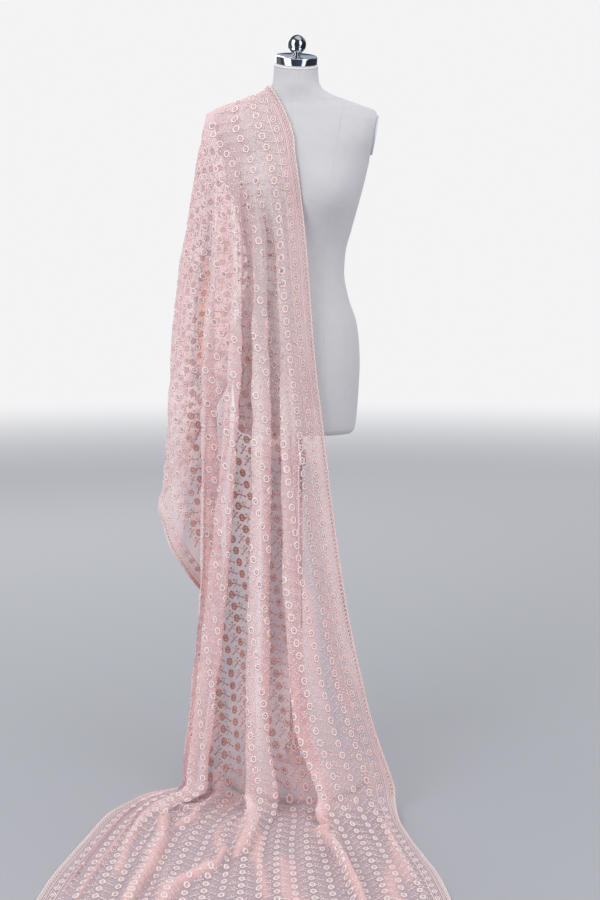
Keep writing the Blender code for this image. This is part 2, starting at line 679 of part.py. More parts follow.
def drawn_in(mesh, distance):
    """Moves a sheet's open edges in by this much, so that it stands clear of the next stretch."""
    moves = {}
    for vert in mesh.verts:
        if not vert.is_boundary:
            continue
        inner = [edge.other_vert(vert).co for edge in vert.link_edges if not edge.is_boundary]
        if not inner:
            inner = [face.calc_center_median() for face in vert.link_faces]
        middle = sum(inner, Vector()) / len(inner)
        moves[vert] = (middle - vert.co).normalized() * distance
    for vert, move in moves.items():
        vert.co += move


def sheet(name, patches, material, seam=SEAM):
    """A stretch of cloth: patches of a grid, joined where they meet, with the wall's thickness."""
    mesh = bmesh.new()
    for patch in patches:
        rows, columns = patch.shape[:2]
        verts = [[mesh.verts.new(patch[r, c]) for c in range(columns)] for r in range(rows)]
        for r in range(rows - 1):
            for c in range(columns - 1):
                mesh.faces.new((verts[r][c], verts[r + 1][c], verts[r + 1][c + 1], verts[r][c + 1]))
    bmesh.ops.remove_doubles(mesh, verts=mesh.verts, dist=0.01 * MM)
    drawn_in(mesh, seam / 2)
    bmesh.ops.triangulate(mesh, faces=mesh.faces)
    piece = placed(name, mesh, material, PARTS)
    wall = piece.modifiers.new("Wall", "SOLIDIFY")
    wall.thickness = WALL
    wall.offset = 0.0
    return piece


def form_parts():
    cover = surface("form_cover", (0.80, 0.80, 0.82), 0.85)
    lip = surface("neck_lip_white", (0.86, 0.86, 0.88), 0.55)
    plate = surface("arm_plate_white", (0.84, 0.85, 0.88), 0.5)
    torso(cover)
    piece = turned("neck_lip", ((0.0, LIP_HEIGHT), (LIP_RADIUS, LIP_HEIGHT), (LIP_RADIUS, 0.0), (0.0, 0.0)), lip)
    on_neck(piece, GAP)
    rounded(piece, EDGE_ROUND)
    above = GAP + LIP_HEIGHT + GAP
    piece = turned("neck_cap", ((0.0, CAP_HEIGHT), (CAP_RADIUS, CAP_HEIGHT), (CAP_RADIUS, 0.0), (0.0, 0.0)),
                   surface("cap_chrome", (0.80, 0.81, 0.83), 0.12, metallic=1.0))
    on_neck(piece, above)
    rounded(piece, 2 * EDGE_ROUND, 2)
    above += CAP_HEIGHT + GAP
    turns = [math.radians(90.0 - 20.0 * i) for i in range(9)]
    ball = [(BALL_RADIUS * math.cos(turn), BALL_MIDDLE + BALL_RADIUS * math.sin(turn)) for turn in turns]
    ball[0] = (0.0, BALL_MIDDLE + BALL_RADIUS)
    foot = [(STEM_RADIUS, ball[-1][1] - 0.0005), (STEM_RADIUS * 1.6, 0.001), (STEM_RADIUS * 1.6, 0.0), (0.0, 0.0)]
    piece = turned("finial_ball", ball + foot, surface("ball_chrome", (0.55, 0.56, 0.58), 0.10, metallic=1.0))
    on_neck(piece, above)
    arm_plate(1, "arm_plate_right", plate)
    arm_plate(-1, "arm_plate_left", surface("arm_plate_left_white", (0.84, 0.85, 0.88), 0.5))
    turned("base", BASE_PROFILE, surface("base_metal", (0.62, 0.63, 0.65), 0.35, metallic=0.8), 40)
    top = BASE_PROFILE[0][1]
    ring("base_collar", POLE_RADIUS + GAP, COLLAR_RADIUS, top + GAP, top + GAP + COLLAR_HEIGHT,
         surface("collar_metal", (0.70, 0.71, 0.73), 0.25, metallic=1.0))
    high, low = TORSO_BOTTOM - GAP, top + GAP
    turned("pole", ((0.0, high), (POLE_RADIUS, high), (POLE_RADIUS, low), (0.0, low)),
           surface("pole_metal", (0.74, 0.75, 0.77), 0.22, metallic=1.0))
    ring("pole_clamp", POLE_RADIUS + GAP, CLAMP_RADIUS, CLAMP_Z - CLAMP_HEIGHT / 2, CLAMP_Z + CLAMP_HEIGHT / 2,
         surface("clamp_metal", (0.70, 0.71, 0.73), 0.25, metallic=1.0))
    reach = KNOB_REACH - CLAMP_RADIUS - GAP
    knob = turned("clamp_knob", ((0.0, reach), (KNOB_RADIUS * 0.8, reach), (KNOB_RADIUS, reach - 0.003),
                                 (KNOB_RADIUS, reach - 0.013), (KNOB_RADIUS * 0.7, reach - 0.016),
                                 (STUD_RADIUS, reach - 0.017), (STUD_RADIUS, 0.0), (0.0, 0.0)),
                  surface("knob_black", (0.03, 0.03, 0.03), 0.4), 24)
    place = Vector((0.0, CLAMP_RADIUS + GAP, CLAMP_Z))
    knob.matrix_world = Matrix.Translation(place) @ Matrix.Rotation(math.radians(-90.0), 4, "X")


def cloth_parts():
    net = (0.87, 0.62, 0.62)
    front = front_grid(SUB)
    behind = shoulder_back(SUB)
    back, _ = back_grid(front, SUB)
    low = low_grid(SUB)
    floor = floor_grid(low[-1], SUB)
    valley = VALLEY * SUB
    turns = len(TURNS) - 1
    top_rows = turns + 1 + DROPS.index(SHOULDER_END)
    seam = valley + SWAG_SEAM
    over = np.concatenate([behind[:0:-1], front[: top_rows + 1, : valley + 1]])
    sheet("dupatta_shoulder", [over], surface("net_shoulder", net, 0.8, sheen=0.4))
    below = [np.stack([front[-1, : valley + 1], low[0]]), low, np.stack([low[-1], floor[0]])]
    sheet("dupatta_front_fall", [front[top_rows:, : seam + 1]] + below,
          surface("net_front_fall", net, 0.8, sheen=0.4), BEND_SEAM)
    sheet("dupatta_side_swag", [front[: top_rows + 1, valley:], front[top_rows:, seam:]],
          surface("net_side_swag", net, 0.8, sheen=0.4), BEND_SEAM)
    ridge = VALLEY
    sheet("dupatta_back_fall", [back[ridge:], back[: ridge + 1, turns:]],
          surface("net_back_fall", net, 0.8, sheen=0.4), BEND_SEAM)
    sheet("dupatta_back_end", [tail_grid(2)], surface("net_back_end", net, 0.8, sheen=0.4))
    sheet("dupatta_floor_spread", [floor], surface("net_floor_spread", net, 0.8, sheen=0.4), BEND_SEAM)


PARTS, CUTTERS = cleared_collections()
form_parts()
cloth_parts()
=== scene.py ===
"""The looks of a dupatta stole of embroidered net draped on a limbless dress form.

Metres, +Z up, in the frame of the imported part. The form faces -Y.
The net is one sheet, its embroidery is laid out on the flat cut and carried onto the drape.
"""

import math

import bpy
import numpy as np
from mathutils import Matrix, Vector
from mathutils.bvhtree import BVHTree


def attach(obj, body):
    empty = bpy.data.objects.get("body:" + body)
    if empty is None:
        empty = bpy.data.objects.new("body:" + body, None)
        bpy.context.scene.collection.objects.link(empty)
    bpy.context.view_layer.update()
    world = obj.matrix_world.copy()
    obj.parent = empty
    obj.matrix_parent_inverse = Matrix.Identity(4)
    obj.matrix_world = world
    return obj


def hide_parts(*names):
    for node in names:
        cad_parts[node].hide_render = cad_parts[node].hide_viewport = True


bl_info = {
    "name": "Dupatta stole on a dress form",
    "version": (1, 0, 0),
    "blender": (4, 5, 0),
    "location": "View3D > Sidebar > Dupatta",
    "description": "Models the net, embroidery, dress form and stand of a draped dupatta stole",
    "category": "Object",
}

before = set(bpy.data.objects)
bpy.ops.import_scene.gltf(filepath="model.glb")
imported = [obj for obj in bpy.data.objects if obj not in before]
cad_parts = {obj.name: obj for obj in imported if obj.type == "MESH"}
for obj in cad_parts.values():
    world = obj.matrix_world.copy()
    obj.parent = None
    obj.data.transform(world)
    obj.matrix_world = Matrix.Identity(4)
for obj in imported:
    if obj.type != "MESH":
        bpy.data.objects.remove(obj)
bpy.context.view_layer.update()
MM = 0.001

# Dress form, as in the solids.
NECK_CUT = 1.617
TORSO_BOTTOM = 0.809
NECK_TOP = 1.620
LIP_RADIUS = 0.0485
CAP_RADIUS = 0.046
CAP_HEIGHT = 0.017
CAP_TILT = math.radians(20.0)
CAP_ROLL = math.radians(2.6)
LIP_HEIGHT = 0.004
STEM_RADIUS = 0.006
BALL_RADIUS = 0.0202
BALL_MIDDLE = 0.0235
ARM_PLATE_TILT = math.radians(9.6)
ARM_PLATE_AT = (0.1758, 0.0, 1.468)
ARM_PLATE_HALF = (0.036, 0.043)
ARM_PLATE_THICK = 0.005
POLE_RADIUS = 0.0145
BASE_PROFILE = ((0.0, 0.0340), (0.030, 0.0340), (0.060, 0.0300), (0.100, 0.0225), (0.140, 0.0160),
                (0.158, 0.0125), (0.1645, 0.0090), (0.165, 0.0030), (0.1635, 0.0))
COLLAR_RADIUS = 0.026
COLLAR_HEIGHT = 0.040
CLAMP_Z = 0.752
CLAMP_RADIUS = 0.022
CLAMP_HEIGHT = 0.034
KNOB_REACH = 0.056
KNOB_RADIUS = 0.012
STUD_RADIUS = 0.004
GAP = 0.3 * MM
NECK_FOOT = 1.56
ARMHOLE_FOOT = 1.36

# Torso: height, half width, depth in front of the axis, depth behind it, squareness of the section.
TORSO_LEVELS = (
    (0.809, 0.1240, 0.0860, 0.0900, 2.15),
    (0.816, 0.1310, 0.0930, 0.0970, 2.15),
    (0.832, 0.1350, 0.0965, 0.1010, 2.15),
    (0.905, 0.1410, 0.1000, 0.1060, 2.15),
    (0.968, 0.1436, 0.1000, 0.1070, 2.15),
    (1.004, 0.1423, 0.0980, 0.1030, 2.15),
    (1.056, 0.1360, 0.0930, 0.0930, 2.15),
    (1.114, 0.1170, 0.0860, 0.0790, 2.15),
    (1.170, 0.1075, 0.0820, 0.0720, 2.15),
    (1.210, 0.1100, 0.0840, 0.0740, 2.15),
    (1.269, 0.1250, 0.0920, 0.0830, 2.20),
    (1.320, 0.1390, 0.1000, 0.0920, 2.30),
    (1.365, 0.1510, 0.1020, 0.0980, 2.40),
    (1.419, 0.1640, 0.0950, 0.1000, 2.50),
    (1.460, 0.1770, 0.0820, 0.0960, 2.80),
    (1.495, 0.1850, 0.0660, 0.0840, 2.80),
    (1.519, 0.1760, 0.0560, 0.0690, 2.40),
    (1.532, 0.1450, 0.0500, 0.0600, 2.20),
    (1.546, 0.1040, 0.0475, 0.0545, 2.10),
    (1.558, 0.0740, 0.0480, 0.0520, 2.00),
    (1.570, 0.0570, 0.0490, 0.0510, 2.00),
    (1.585, 0.0505, 0.0466, 0.0480, 2.00),
    (1.620, 0.0480, 0.0450, 0.0456, 2.00),
)
BUST = {"height": 1.330, "spread": 0.062, "angle": 34.0, "width": 26.0, "rise": 0.026}

# Cloth, as in the solids.
CLOTH_WIDTH = 0.88
WALL = 1.1 * MM
CLEAR = 7.5 * MM
NECK_CLEAR = 7.5 * MM
SHOULDER_CLEAR = 10.0 * MM
LEVELS = (1.44, 1.20, 1.00, 0.82, 0.50, 0.20, 0.05)
# Each row is one line down the cloth, from the long edge beside the neck to the valley beside the arm: how
# far it is tucked behind the front of the drape, and its x at each of the levels above.
FOLD_LINES = (
    ("edge", 0.000, -0.003, 0.026, 0.041, 0.062, 0.1035, 0.166, 0.2175),
    ("border line", 0.003, -0.033, -0.006, 0.010, 0.029, 0.0700, 0.132, 0.1840),
    ("soft wave", -0.004, -0.045, -0.022, -0.012, -0.002, 0.0250, 0.070, 0.1280),
    ("pleat 1 crest", -0.002, -0.056, -0.037, -0.036, -0.032, -0.0246, -0.005, 0.0477),
    ("pleat 1 return", 0.018, -0.066, -0.040, -0.026, -0.014, 0.0060, 0.028, 0.0780),
    ("pleat 1 valley", 0.042, -0.077, -0.060, -0.070, -0.074, -0.0770, -0.074, -0.0400),
    ("pleat 2 right", 0.008, -0.087, -0.068, -0.058, -0.0535, -0.0555, -0.058, -0.0430),
    ("pleat 2 left", 0.000, -0.098, -0.0885, -0.094, -0.0945, -0.1020, -0.110, -0.1050),
    ("pleat 2 return", 0.024, -0.107, -0.092, -0.082, -0.078, -0.0840, -0.090, -0.0880),
    ("window", 0.044, -0.116, -0.103, -0.104, -0.106, -0.1220, -0.140, -0.1450),
    ("pleat 3 neck", 0.034, -0.125, -0.115, -0.125, -0.137, -0.1620, -0.194, -0.2080),
    ("pleat 3 right", 0.006, -0.134, -0.119, -0.117, -0.128, -0.1500, -0.182, -0.1980),
    ("pleat 3 left", 0.000, -0.144, -0.129, -0.144, -0.1585, -0.1940, -0.2266, -0.2450),
    ("pleat 3 return", 0.017, -0.153, -0.135, -0.134, -0.147, -0.1790, -0.212, -0.2310),
    ("groove", 0.021, -0.163, -0.158, -0.176, -0.192, -0.2020, -0.230, -0.2500),
    ("pleat 4 left", 0.016, -0.173, -0.181, -0.2035, -0.208, -0.2134, -0.240, -0.2580),
    ("valley", 0.055, -0.181, -0.174, -0.180, -0.176, -0.1680, -0.200, -0.2250),
)
EDGE = 0
VALLEY = len(FOLD_LINES) - 1
RIDGE_X = (-0.0625, -0.176)    # where the cloth crosses the shoulder line, from its long edge to the valley
FOLDS_FULL = (1.42, 1.12)      # heights over which the pleats grow to their full depth
FOLDS_FREE = (0.60, 0.95)      # heights over which they go back to it from the greater depth near the floor
FREE_DEPTH = 1.5               # that depth, as a share of the full one
# Height, and the depth of the drape's front there at the long edge, in the middle and beside the arm.
FRONT_LINE = (
    (1.44, 0.090, 0.095, 0.062),
    (1.20, 0.118, 0.125, 0.100),
    (1.00, 0.112, 0.130, 0.102),
    (0.82, 0.115, 0.140, 0.100),
    (0.50, 0.140, 0.170, 0.100),
    (0.20, 0.175, 0.215, 0.098),
    (0.05, 0.190, 0.243, 0.092),
)
DEPTH_SHARES = (0.0, 0.45, 1.05)  # how far across the front those three depths are
TURNS = (0.0, 25.0, 52.0, 80.0)  # of the rows over the shoulder, in degrees from the shoulder line
RIDGE_SCALE = 1.53             # the height that stands for the shoulder line
TURN_SPAN = 95.0               # turn over the shoulder, in degrees, over which that falls to the first drop
# Heights of the rows below them, down to the side fold's lower corner and on down to the floor.
DROPS = (1.455, 1.42, 1.37, 1.31, 1.24, 1.16, 1.07, 0.98, 0.88, 0.78, 0.68, 0.58, 0.49, 0.40)
LOW_DROPS = (0.33, 0.26, 0.19, 0.13, 0.08, 0.045)
# The side fold as height and x, and how high it is met by the row that leaves the valley at each height.
SIDE_FOLD = (
    (0.635, -0.315), (0.700, -0.303), (0.790, -0.294), (0.928, -0.2865), (1.013, -0.280), (1.098, -0.272),
    (1.170, -0.2625), (1.240, -0.250), (1.367, -0.2265), (1.434, -0.2145), (1.478, -0.205), (1.511, -0.198),
)
SIDE_DROP = ((0.40, 0.635), (0.56, 0.72), (0.72, 0.83), (0.88, 0.945), (1.04, 1.075), (1.20, 1.22),
             (1.38, 1.385), (1.455, 1.452), (1.53, 1.511))
# Lines between the valley and the side fold: how far across and down the way, and the depth in front.
SWAG_LINES = (("swag front", 0.40, 0.30, 0.052), ("swag side", 0.82, 0.66, 0.034))
SWAG_ROUNDING = (1.54, 1.40)   # heights over which the swag grows round
# The bunch behind the shoulders, where the cloth is gathered, and the free end that hangs from it.
BUNCH = {"x": 0.005, "y": 0.118, "z": 1.25, "radius": 0.030, "pleats": 9, "depth": 0.014}
BUNCH_TURN = (75.0, 250.0)
TAIL = {"width": 0.052, "depth": 0.017, "short": 0.16, "long": 0.30, "flare": 1.6, "out": 0.0255, "in": 0.006,
        "above": 0.020, "tight": 0.4, "opening": 1.5, "lines": 4}
BACK_ROWS = 10
BACK_LEAN = 0.24               # how far the rows behind lean towards the bunch, and how late
LEAN_POWER = 1.3
# How a line from the side fold bulges on its way to the bunch: share of the way, and how far off it.
BACK_BULGES = ((0.16, (0.0, 0.045, -0.004)), (0.50, (0.0, 0.050, -0.020)), (0.80, (0.0, 0.028, -0.012)))
BACK_SLACK = (0.0, 0.012, 0.0)  # the same for the middle of a line from the shoulder
BACK_ROUNDS = 12               # rounds in which the lines behind are evened
BACK_EASE = 0.6
GATHER_POWER = 2.2             # how late the bunch's pleats grow along a line
TAIL_ROWS = (0.0, 0.25, 0.5, 0.75, 1.0)
# Edges of the cloth on the floor, as x and y.
FLOOR_RIGHT = ((0.2175, -0.185), (0.230, -0.280), (0.2435, -0.368), (0.277, -0.497), (0.289, -0.602),
               (0.300, -0.800))
FLOOR_LEFT = ((-0.290, -0.060), (-0.3275, -0.0995), (-0.403, -0.211), (-0.4415, -0.368), (-0.474, -0.538),
              (-0.480, -0.602), (-0.487, -0.800))
FLOOR_END = 0.80               # how far in front of the axis the cloth ends
FLOOR_ROWS = (0.0, 0.03, 0.07, 0.13, 0.20, 0.28, 0.38, 0.50, 0.65, 0.82, 1.0)
# Folds on the floor, right, middle and left: rise, and the places in x and y that each runs through.
FLOOR_RIDGES = (
    (0.014, ((0.056, -0.285), (0.066, -0.320), (0.083, -0.413), (0.105, -0.524), (0.115, -0.640))),
    (0.018, ((-0.085, -0.270), (-0.092, -0.301), (-0.128, -0.411), (-0.190, -0.485), (-0.271, -0.597))),
    (0.014, ((-0.275, -0.200), (-0.283, -0.287), (-0.291, -0.418), (-0.3025, -0.536), (-0.310, -0.640))),
)
RIDGE_HALF = 0.013             # half the width of a fold
RIDGE_START = (0.02, 0.07)     # from how far before its first place to how far beyond it a fold grows
# Where the front fall lands: how far ahead it starts to lie, over what distances it spreads out, how high its
# stacked folds lie at first and how that fades, and the roll of its foot.
LANDING = {"ahead": 0.010, "spread": (-0.01, 0.05, 0.11), "lift": 0.019, "fade": 0.055, "power": 1.5,
           "deep": 0.034, "roll": 0.004, "roll_fade": 0.02}
SHOULDER_CORE = 0.045          # how far under the shoulder line the rows over it turn
NECK_SIDE = 0.058              # how far from the axis the neck's side ends
BELOW_TORSO = 0.03             # how far under the torso its skin still holds the cloth off
FORWARD_TURN = 160.0           # turn at which a row over the shoulder would lie as the first row in front
SUB = 3                        # columns of the coarse grid between one fold line and the next

# Net and embroidery.
FINE_STEP = 0.012              # longest step of the fine grid down the cloth
FINE_ACROSS = 3                # fine columns for each coarse one
LIFT = 0.45 * MM               # half the thickness of a satin stitch, from the middle of the net
FOOT = 0.25 * MM               # height of a stitch's edges over the middle of the net


def table_column(table, column):
    return np.array([row[column] for row in table], float)


def curve_between(first, last, lean, next_lean, step, share):
    """Points this share of the way along smooth curves between two values with these slopes."""
    return (
        first * (1 + 2 * share) * (1 - share) ** 2
        + step * lean * share * (1 - share) ** 2
        + last * share * share * (3 - 2 * share)
        - step * next_lean * share * share * (1 - share)
    )


def smooth_track(stations, values, at):
    """Values at the stations joined by a smooth curve with no overshoot, read at the places asked for."""
    stations = np.asarray(stations, float)
    values = np.asarray(values, float)
    at = np.clip(at, stations[0], stations[-1])
    steps = np.diff(stations)
    slopes = np.diff(values) / steps
    knots = np.zeros(len(stations))
    for i in range(1, len(stations) - 1):
        if slopes[i - 1] * slopes[i] > 0:
            knots[i] = 2 * slopes[i - 1] * slopes[i] / (slopes[i - 1] + slopes[i])
    knots[0] = slopes[0]
    knots[-1] = slopes[-1]
    i = np.clip(np.searchsorted(stations, at, side="right") - 1, 0, len(steps) - 1)
    share = (at - stations[i]) / steps[i]
    return curve_between(values[i], values[i + 1], knots[i], knots[i + 1], steps[i], share)


def soft_step(low, high, at):
    t = np.clip((np.asarray(at, float) - low) / (high - low), 0.0, 1.0)
    return t * t * (3 - 2 * t)


TORSO_Z = table_column(TORSO_LEVELS, 0)


def torso_size(z):
    return [smooth_track(TORSO_Z, table_column(TORSO_LEVELS, c), z) for c in (1, 2, 3, 4)]


def bust_rise(x, y, z):
    angle = np.degrees(np.arctan2(np.abs(x), -y))
    across = np.exp(-(((angle - BUST["angle"]) / BUST["width"]) ** 2))
    up = np.exp(-(((z - BUST["height"]) / BUST["spread"]) ** 2))
    return BUST["rise"] * across * up


def torso_radius(angle, z):
    """Distance from the axis to the torso's skin; the angle is 0 to the front and grows towards +X."""
    half, front, back, power = torso_size(z)
    sine, cosine = np.sin(angle), np.cos(angle)
    depth = np.where(cosine > 0, front, back)
    plain = (np.abs(sine / half) ** power + np.abs(cosine / depth) ** power) ** (-1 / power)
    return plain + bust_rise(sine, -cosine, z)


def outside(points, clear):
    """The points, with those nearer the torso's skin than the clearance moved straight out to it."""
    moved = np.array(points, float)
    x, y, z = moved[..., 0], moved[..., 1], moved[..., 2]
    reach = np.hypot(x, y)
    skin = torso_radius(np.arctan2(x, -y), z) + clear
    push = np.where((reach < skin) & (z > TORSO_BOTTOM - BELOW_TORSO), skin / np.maximum(reach, 1e-6), 1.0)
    moved[..., 0] = x * push
    moved[..., 1] = y * push
    return moved


def ridge_height(x):
    heights = np.linspace(1.50, NECK_TOP, 121)
    halves = torso_size(heights)[0]
    return float(np.interp(-abs(x), -halves, heights))


def shoulder_point(x, turn, clear):
    """The point over the shoulder at this x. A turn of 0 is the top, 90 degrees the front, -90 the back."""
    top = ridge_height(max(abs(x), NECK_SIDE))
    low, high = 0.0, 0.30
    for _ in range(40):
        reach = (low + high) / 2
        y = -math.sin(turn) * reach
        z = top - SHOULDER_CORE + math.cos(turn) * reach
        angle = math.atan2(x, -y if abs(y) > 1e-9 else -1e-9)
        if math.hypot(x, y) < float(torso_radius(angle, np.array(z))) + clear:
            low = reach
        else:
            high = reach
    return np.array([x, -math.sin(turn) * high, top - SHOULDER_CORE + math.cos(turn) * high])


def spline(points, steps):
    """A smooth curve through the points, with this many steps between one and the next."""
    points = np.asarray(points, float)
    before = 2 * points[0] - points[1]
    after = 2 * points[-1] - points[-2]
    full = np.concatenate([before[None], points, after[None]])
    reach = np.sqrt(np.maximum(np.linalg.norm(np.diff(full, axis=0), axis=1), 1e-5))
    out = []
    for i in range(1, len(full) - 2):
        span = reach[i]
        lean = (full[i] - full[i - 1]) / reach[i - 1] - (full[i + 1] - full[i - 1]) / (reach[i - 1] + span)
        start = (lean + (full[i + 1] - full[i]) / span) * span
        lean = (full[i + 1] - full[i]) / span - (full[i + 2] - full[i]) / (span + reach[i + 1])
        stop = (lean + (full[i + 2] - full[i + 1]) / reach[i + 1]) * span
        for step in range(steps):
            t = step / steps
            out.append(
                (2 * t**3 - 3 * t * t + 1) * full[i] + (t**3 - 2 * t * t + t) * start
                + (3 * t * t - 2 * t**3) * full[i + 1] + (t**3 - t * t) * stop
            )
    out.append(full[-2])
    return np.array(out)


def line_x(line, z):
    levels = np.array(LEVELS[::-1])
    return float(smooth_track(levels, np.array(FOLD_LINES[line][2:][::-1]), z))


def front_depth(line, z):
    """Distance of a fold line in front of the axis, before it is kept clear of the form."""
    levels = table_column(FRONT_LINE, 0)[::-1]
    at_edge, middle, at_arm = [smooth_track(levels, table_column(FRONT_LINE, c)[::-1], z) for c in (1, 2, 3)]
    first = line_x(EDGE, z)
    last = line_x(VALLEY - 1, z)
    share = np.clip((line_x(line, z) - first) / (last - first), DEPTH_SHARES[0], DEPTH_SHARES[-1])
    depth = smooth_track(DEPTH_SHARES, (at_edge, middle, at_arm), share)
    grown = 1 - soft_step(FOLDS_FULL[1], FOLDS_FULL[0], z)
    grown *= FREE_DEPTH - (FREE_DEPTH - 1) * soft_step(FOLDS_FREE[0], FOLDS_FREE[1], z)
    return float(depth) - FOLD_LINES[line][1] * float(grown)


def side_fold(z_valley):
    drop = np.array(SIDE_DROP)
    z = float(smooth_track(drop[:, 0], drop[:, 1], z_valley))
    fold = np.array(SIDE_FOLD)
    return np.array([float(smooth_track(fold[:, 0], fold[:, 1], z)), 0.0, z])


def swag_points(valley, fold, z_valley):
    rounding = float(soft_step(*SWAG_ROUNDING, z_valley))
    points = []
    for _, across, down, depth in SWAG_LINES:
        x = valley[0] + (fold[0] - valley[0]) * across
        z = valley[2] + (fold[2] - valley[2]) * down
        plain = valley[1] * (1 - across)
        points.append(np.array([x, plain + (-depth - plain) * rounding, z]))
    points.append(fold)
    return points


def front_row(z):
    """The fold lines' points at one height, from the long edge to the valley."""
    points = [(line_x(i, z), -front_depth(i, z), z) for i in range(len(FOLD_LINES))]
    return outside(np.array(points), CLEAR)


def shoulder_row(turn):
    start = np.linspace(RIDGE_X[0], RIDGE_X[1], len(FOLD_LINES))
    if turn < 0:
        lean = BACK_LEAN * (-turn / TURNS[-1]) ** LEAN_POWER * soft_step(NECK_SIDE, 2 * NECK_SIDE, -start)
        across = start + (BUNCH["x"] - start) * lean
    else:
        first = np.array([row[2] for row in FOLD_LINES])
        across = start + (first - start) * float(soft_step(0.0, FORWARD_TURN, turn))
    clear = NECK_CLEAR + (SHOULDER_CLEAR - NECK_CLEAR) * soft_step(NECK_SIDE, 1.5 * NECK_SIDE, -across)
    return np.array([shoulder_point(x, math.radians(turn), up) for x, up in zip(across, clear)])


def turn_scale(turn):
    """The height that stands for a row turned this far over the shoulder."""
    return RIDGE_SCALE - (RIDGE_SCALE - DROPS[0]) * turn / TURN_SPAN


def cloth_rows():
    rows = [(shoulder_row(turn), turn_scale(turn)) for turn in TURNS]
    rows += [(front_row(z), z) for z in DROPS]
    return rows


def front_grid():
    """The cloth before the shoulder line and side fold: rows down it, columns from long edge to fold."""
    grid = []
    for points, z_valley in cloth_rows():
        swag = swag_points(points[-1], side_fold(z_valley), z_valley)
        beyond = swag[-2] * [1, -1, 1]
        line = spline(list(points) + swag + [beyond], SUB)
        grid.append(line[: (len(FOLD_LINES) + 2) * SUB + 1])
    return np.array(grid)


def chain_length(points):
    return np.concatenate([[0.0], np.cumsum(np.linalg.norm(np.diff(points, axis=0), axis=1))])


def read_along(values, reach, at):
    """A chain's values, given at these lengths along it, read at other lengths."""
    return np.stack([np.interp(at, reach, column) for column in values.T], axis=1)


def resample(points, steps):
    fine = spline(points, 8)
    reach = chain_length(fine)
    return read_along(fine, reach, np.linspace(0.0, reach[-1], steps + 1))


def bunch_point(share):
    """Where a line of the cloth reaches the bunch behind the shoulders; the share runs across the cloth."""
    fold = math.sin(2 * math.pi * BUNCH["pleats"] * share)
    turn = math.radians(BUNCH_TURN[0] + (BUNCH_TURN[1] - BUNCH_TURN[0]) * share)
    x = BUNCH["x"] + BUNCH["radius"] * math.cos(turn)
    z = BUNCH["z"] + BUNCH["radius"] * math.sin(turn)
    return np.array([x, BUNCH["y"] + BUNCH["depth"] * fold, z])


def chords_cut(points, cuts):
    steps = [points[:-1] + (points[1:] - points[:-1]) * (cut / cuts) for cut in range(cuts)]
    return np.concatenate([np.stack(steps, axis=1).reshape(-1, 3), points[-1:]])


def back_grid(front, behind):
    """The cloth behind the shoulder line and the side fold: one row a line, from there to the bunch."""
    side_start = VALLEY * SUB
    ridge = front[0, : side_start + 1 : SUB]
    side = np.concatenate([front[0, side_start + 1 :], chords_cut(front[:, -1], 2)[1:]])
    starts = np.concatenate([ridge, side])
    lengths = np.linalg.norm(np.diff(starts, axis=0), axis=1)
    share = np.concatenate([[0.0], np.cumsum(lengths)]) / lengths.sum()
    turns = len(TURNS) - 1
    lines = []
    for start, across_cloth in zip(starts, share):
        end = bunch_point(across_cloth)
        if len(lines) < len(ridge):
            turned = list(behind[1:, len(lines) * SUB])
            middle = (turned[-1] + end) / 2 + BACK_SLACK
            rest = resample([turned[-1], middle, end], BACK_ROWS - turns)[1:]
            lines.append(np.concatenate([[start], turned, rest]))
        else:
            bulges = [start + (end - start) * part + off for part, off in BACK_BULGES]
            lines.append(resample([start, *bulges, end], BACK_ROWS))
    grid = np.array(lines)
    fixed = len(ridge)
    for _ in range(BACK_ROUNDS):
        level = grid[1:-1] + BACK_EASE * ((grid[:-2] + grid[2:]) / 2 - grid[1:-1])
        grid[1:fixed, turns + 1 : -1] = level[: fixed - 1, turns + 1 : -1]
        grid[fixed:-1, 1:-1] = level[fixed - 1 :, 1:-1]
    gather = np.linspace(0.0, 1.0, BACK_ROWS + 1) ** GATHER_POWER
    fold = np.sin(2 * np.pi * BUNCH["pleats"] * share)[:, None] * gather[None, :]
    grid[:fixed, turns + 1 : -1, 1] += BUNCH["depth"] * fold[:fixed, turns + 1 : -1]
    grid[fixed:, 1:-1, 1] += BUNCH["depth"] * fold[fixed:, 1:-1]
    grid[:, 1:-1] = outside(grid[:, 1:-1], CLEAR)
    return grid


def tail_grid():
    """The free end that hangs from the bunch in pleats: one row a line, from the bunch to the back end."""
    lines = []
    count = BUNCH["pleats"] * TAIL["lines"] + 1
    for i in range(count):
        share = i / (count - 1)
        fold = math.sin(2 * math.pi * BUNCH["pleats"] * share)
        length = TAIL["short"] + (TAIL["long"] - TAIL["short"]) * share
        line = []
        for drop in TAIL_ROWS:
            spread = TAIL["width"] * (1 + (TAIL["flare"] - 1) * drop)
            x = BUNCH["x"] + (0.5 - share) * spread
            depth = TAIL["depth"] * (TAIL["tight"] + (1 - TAIL["tight"]) * min(1.0, TAIL["opening"] * drop))
            y = BUNCH["y"] + TAIL["out"] - TAIL["in"] * drop + depth * fold
            line.append([x, y, BUNCH["z"] + TAIL["above"] - length * drop])
        lines.append(line)
    return np.array(lines)


def floor_edge(points, y):
    points = np.array(points)
    return float(smooth_track(-points[:, 1], points[:, 0], -y))


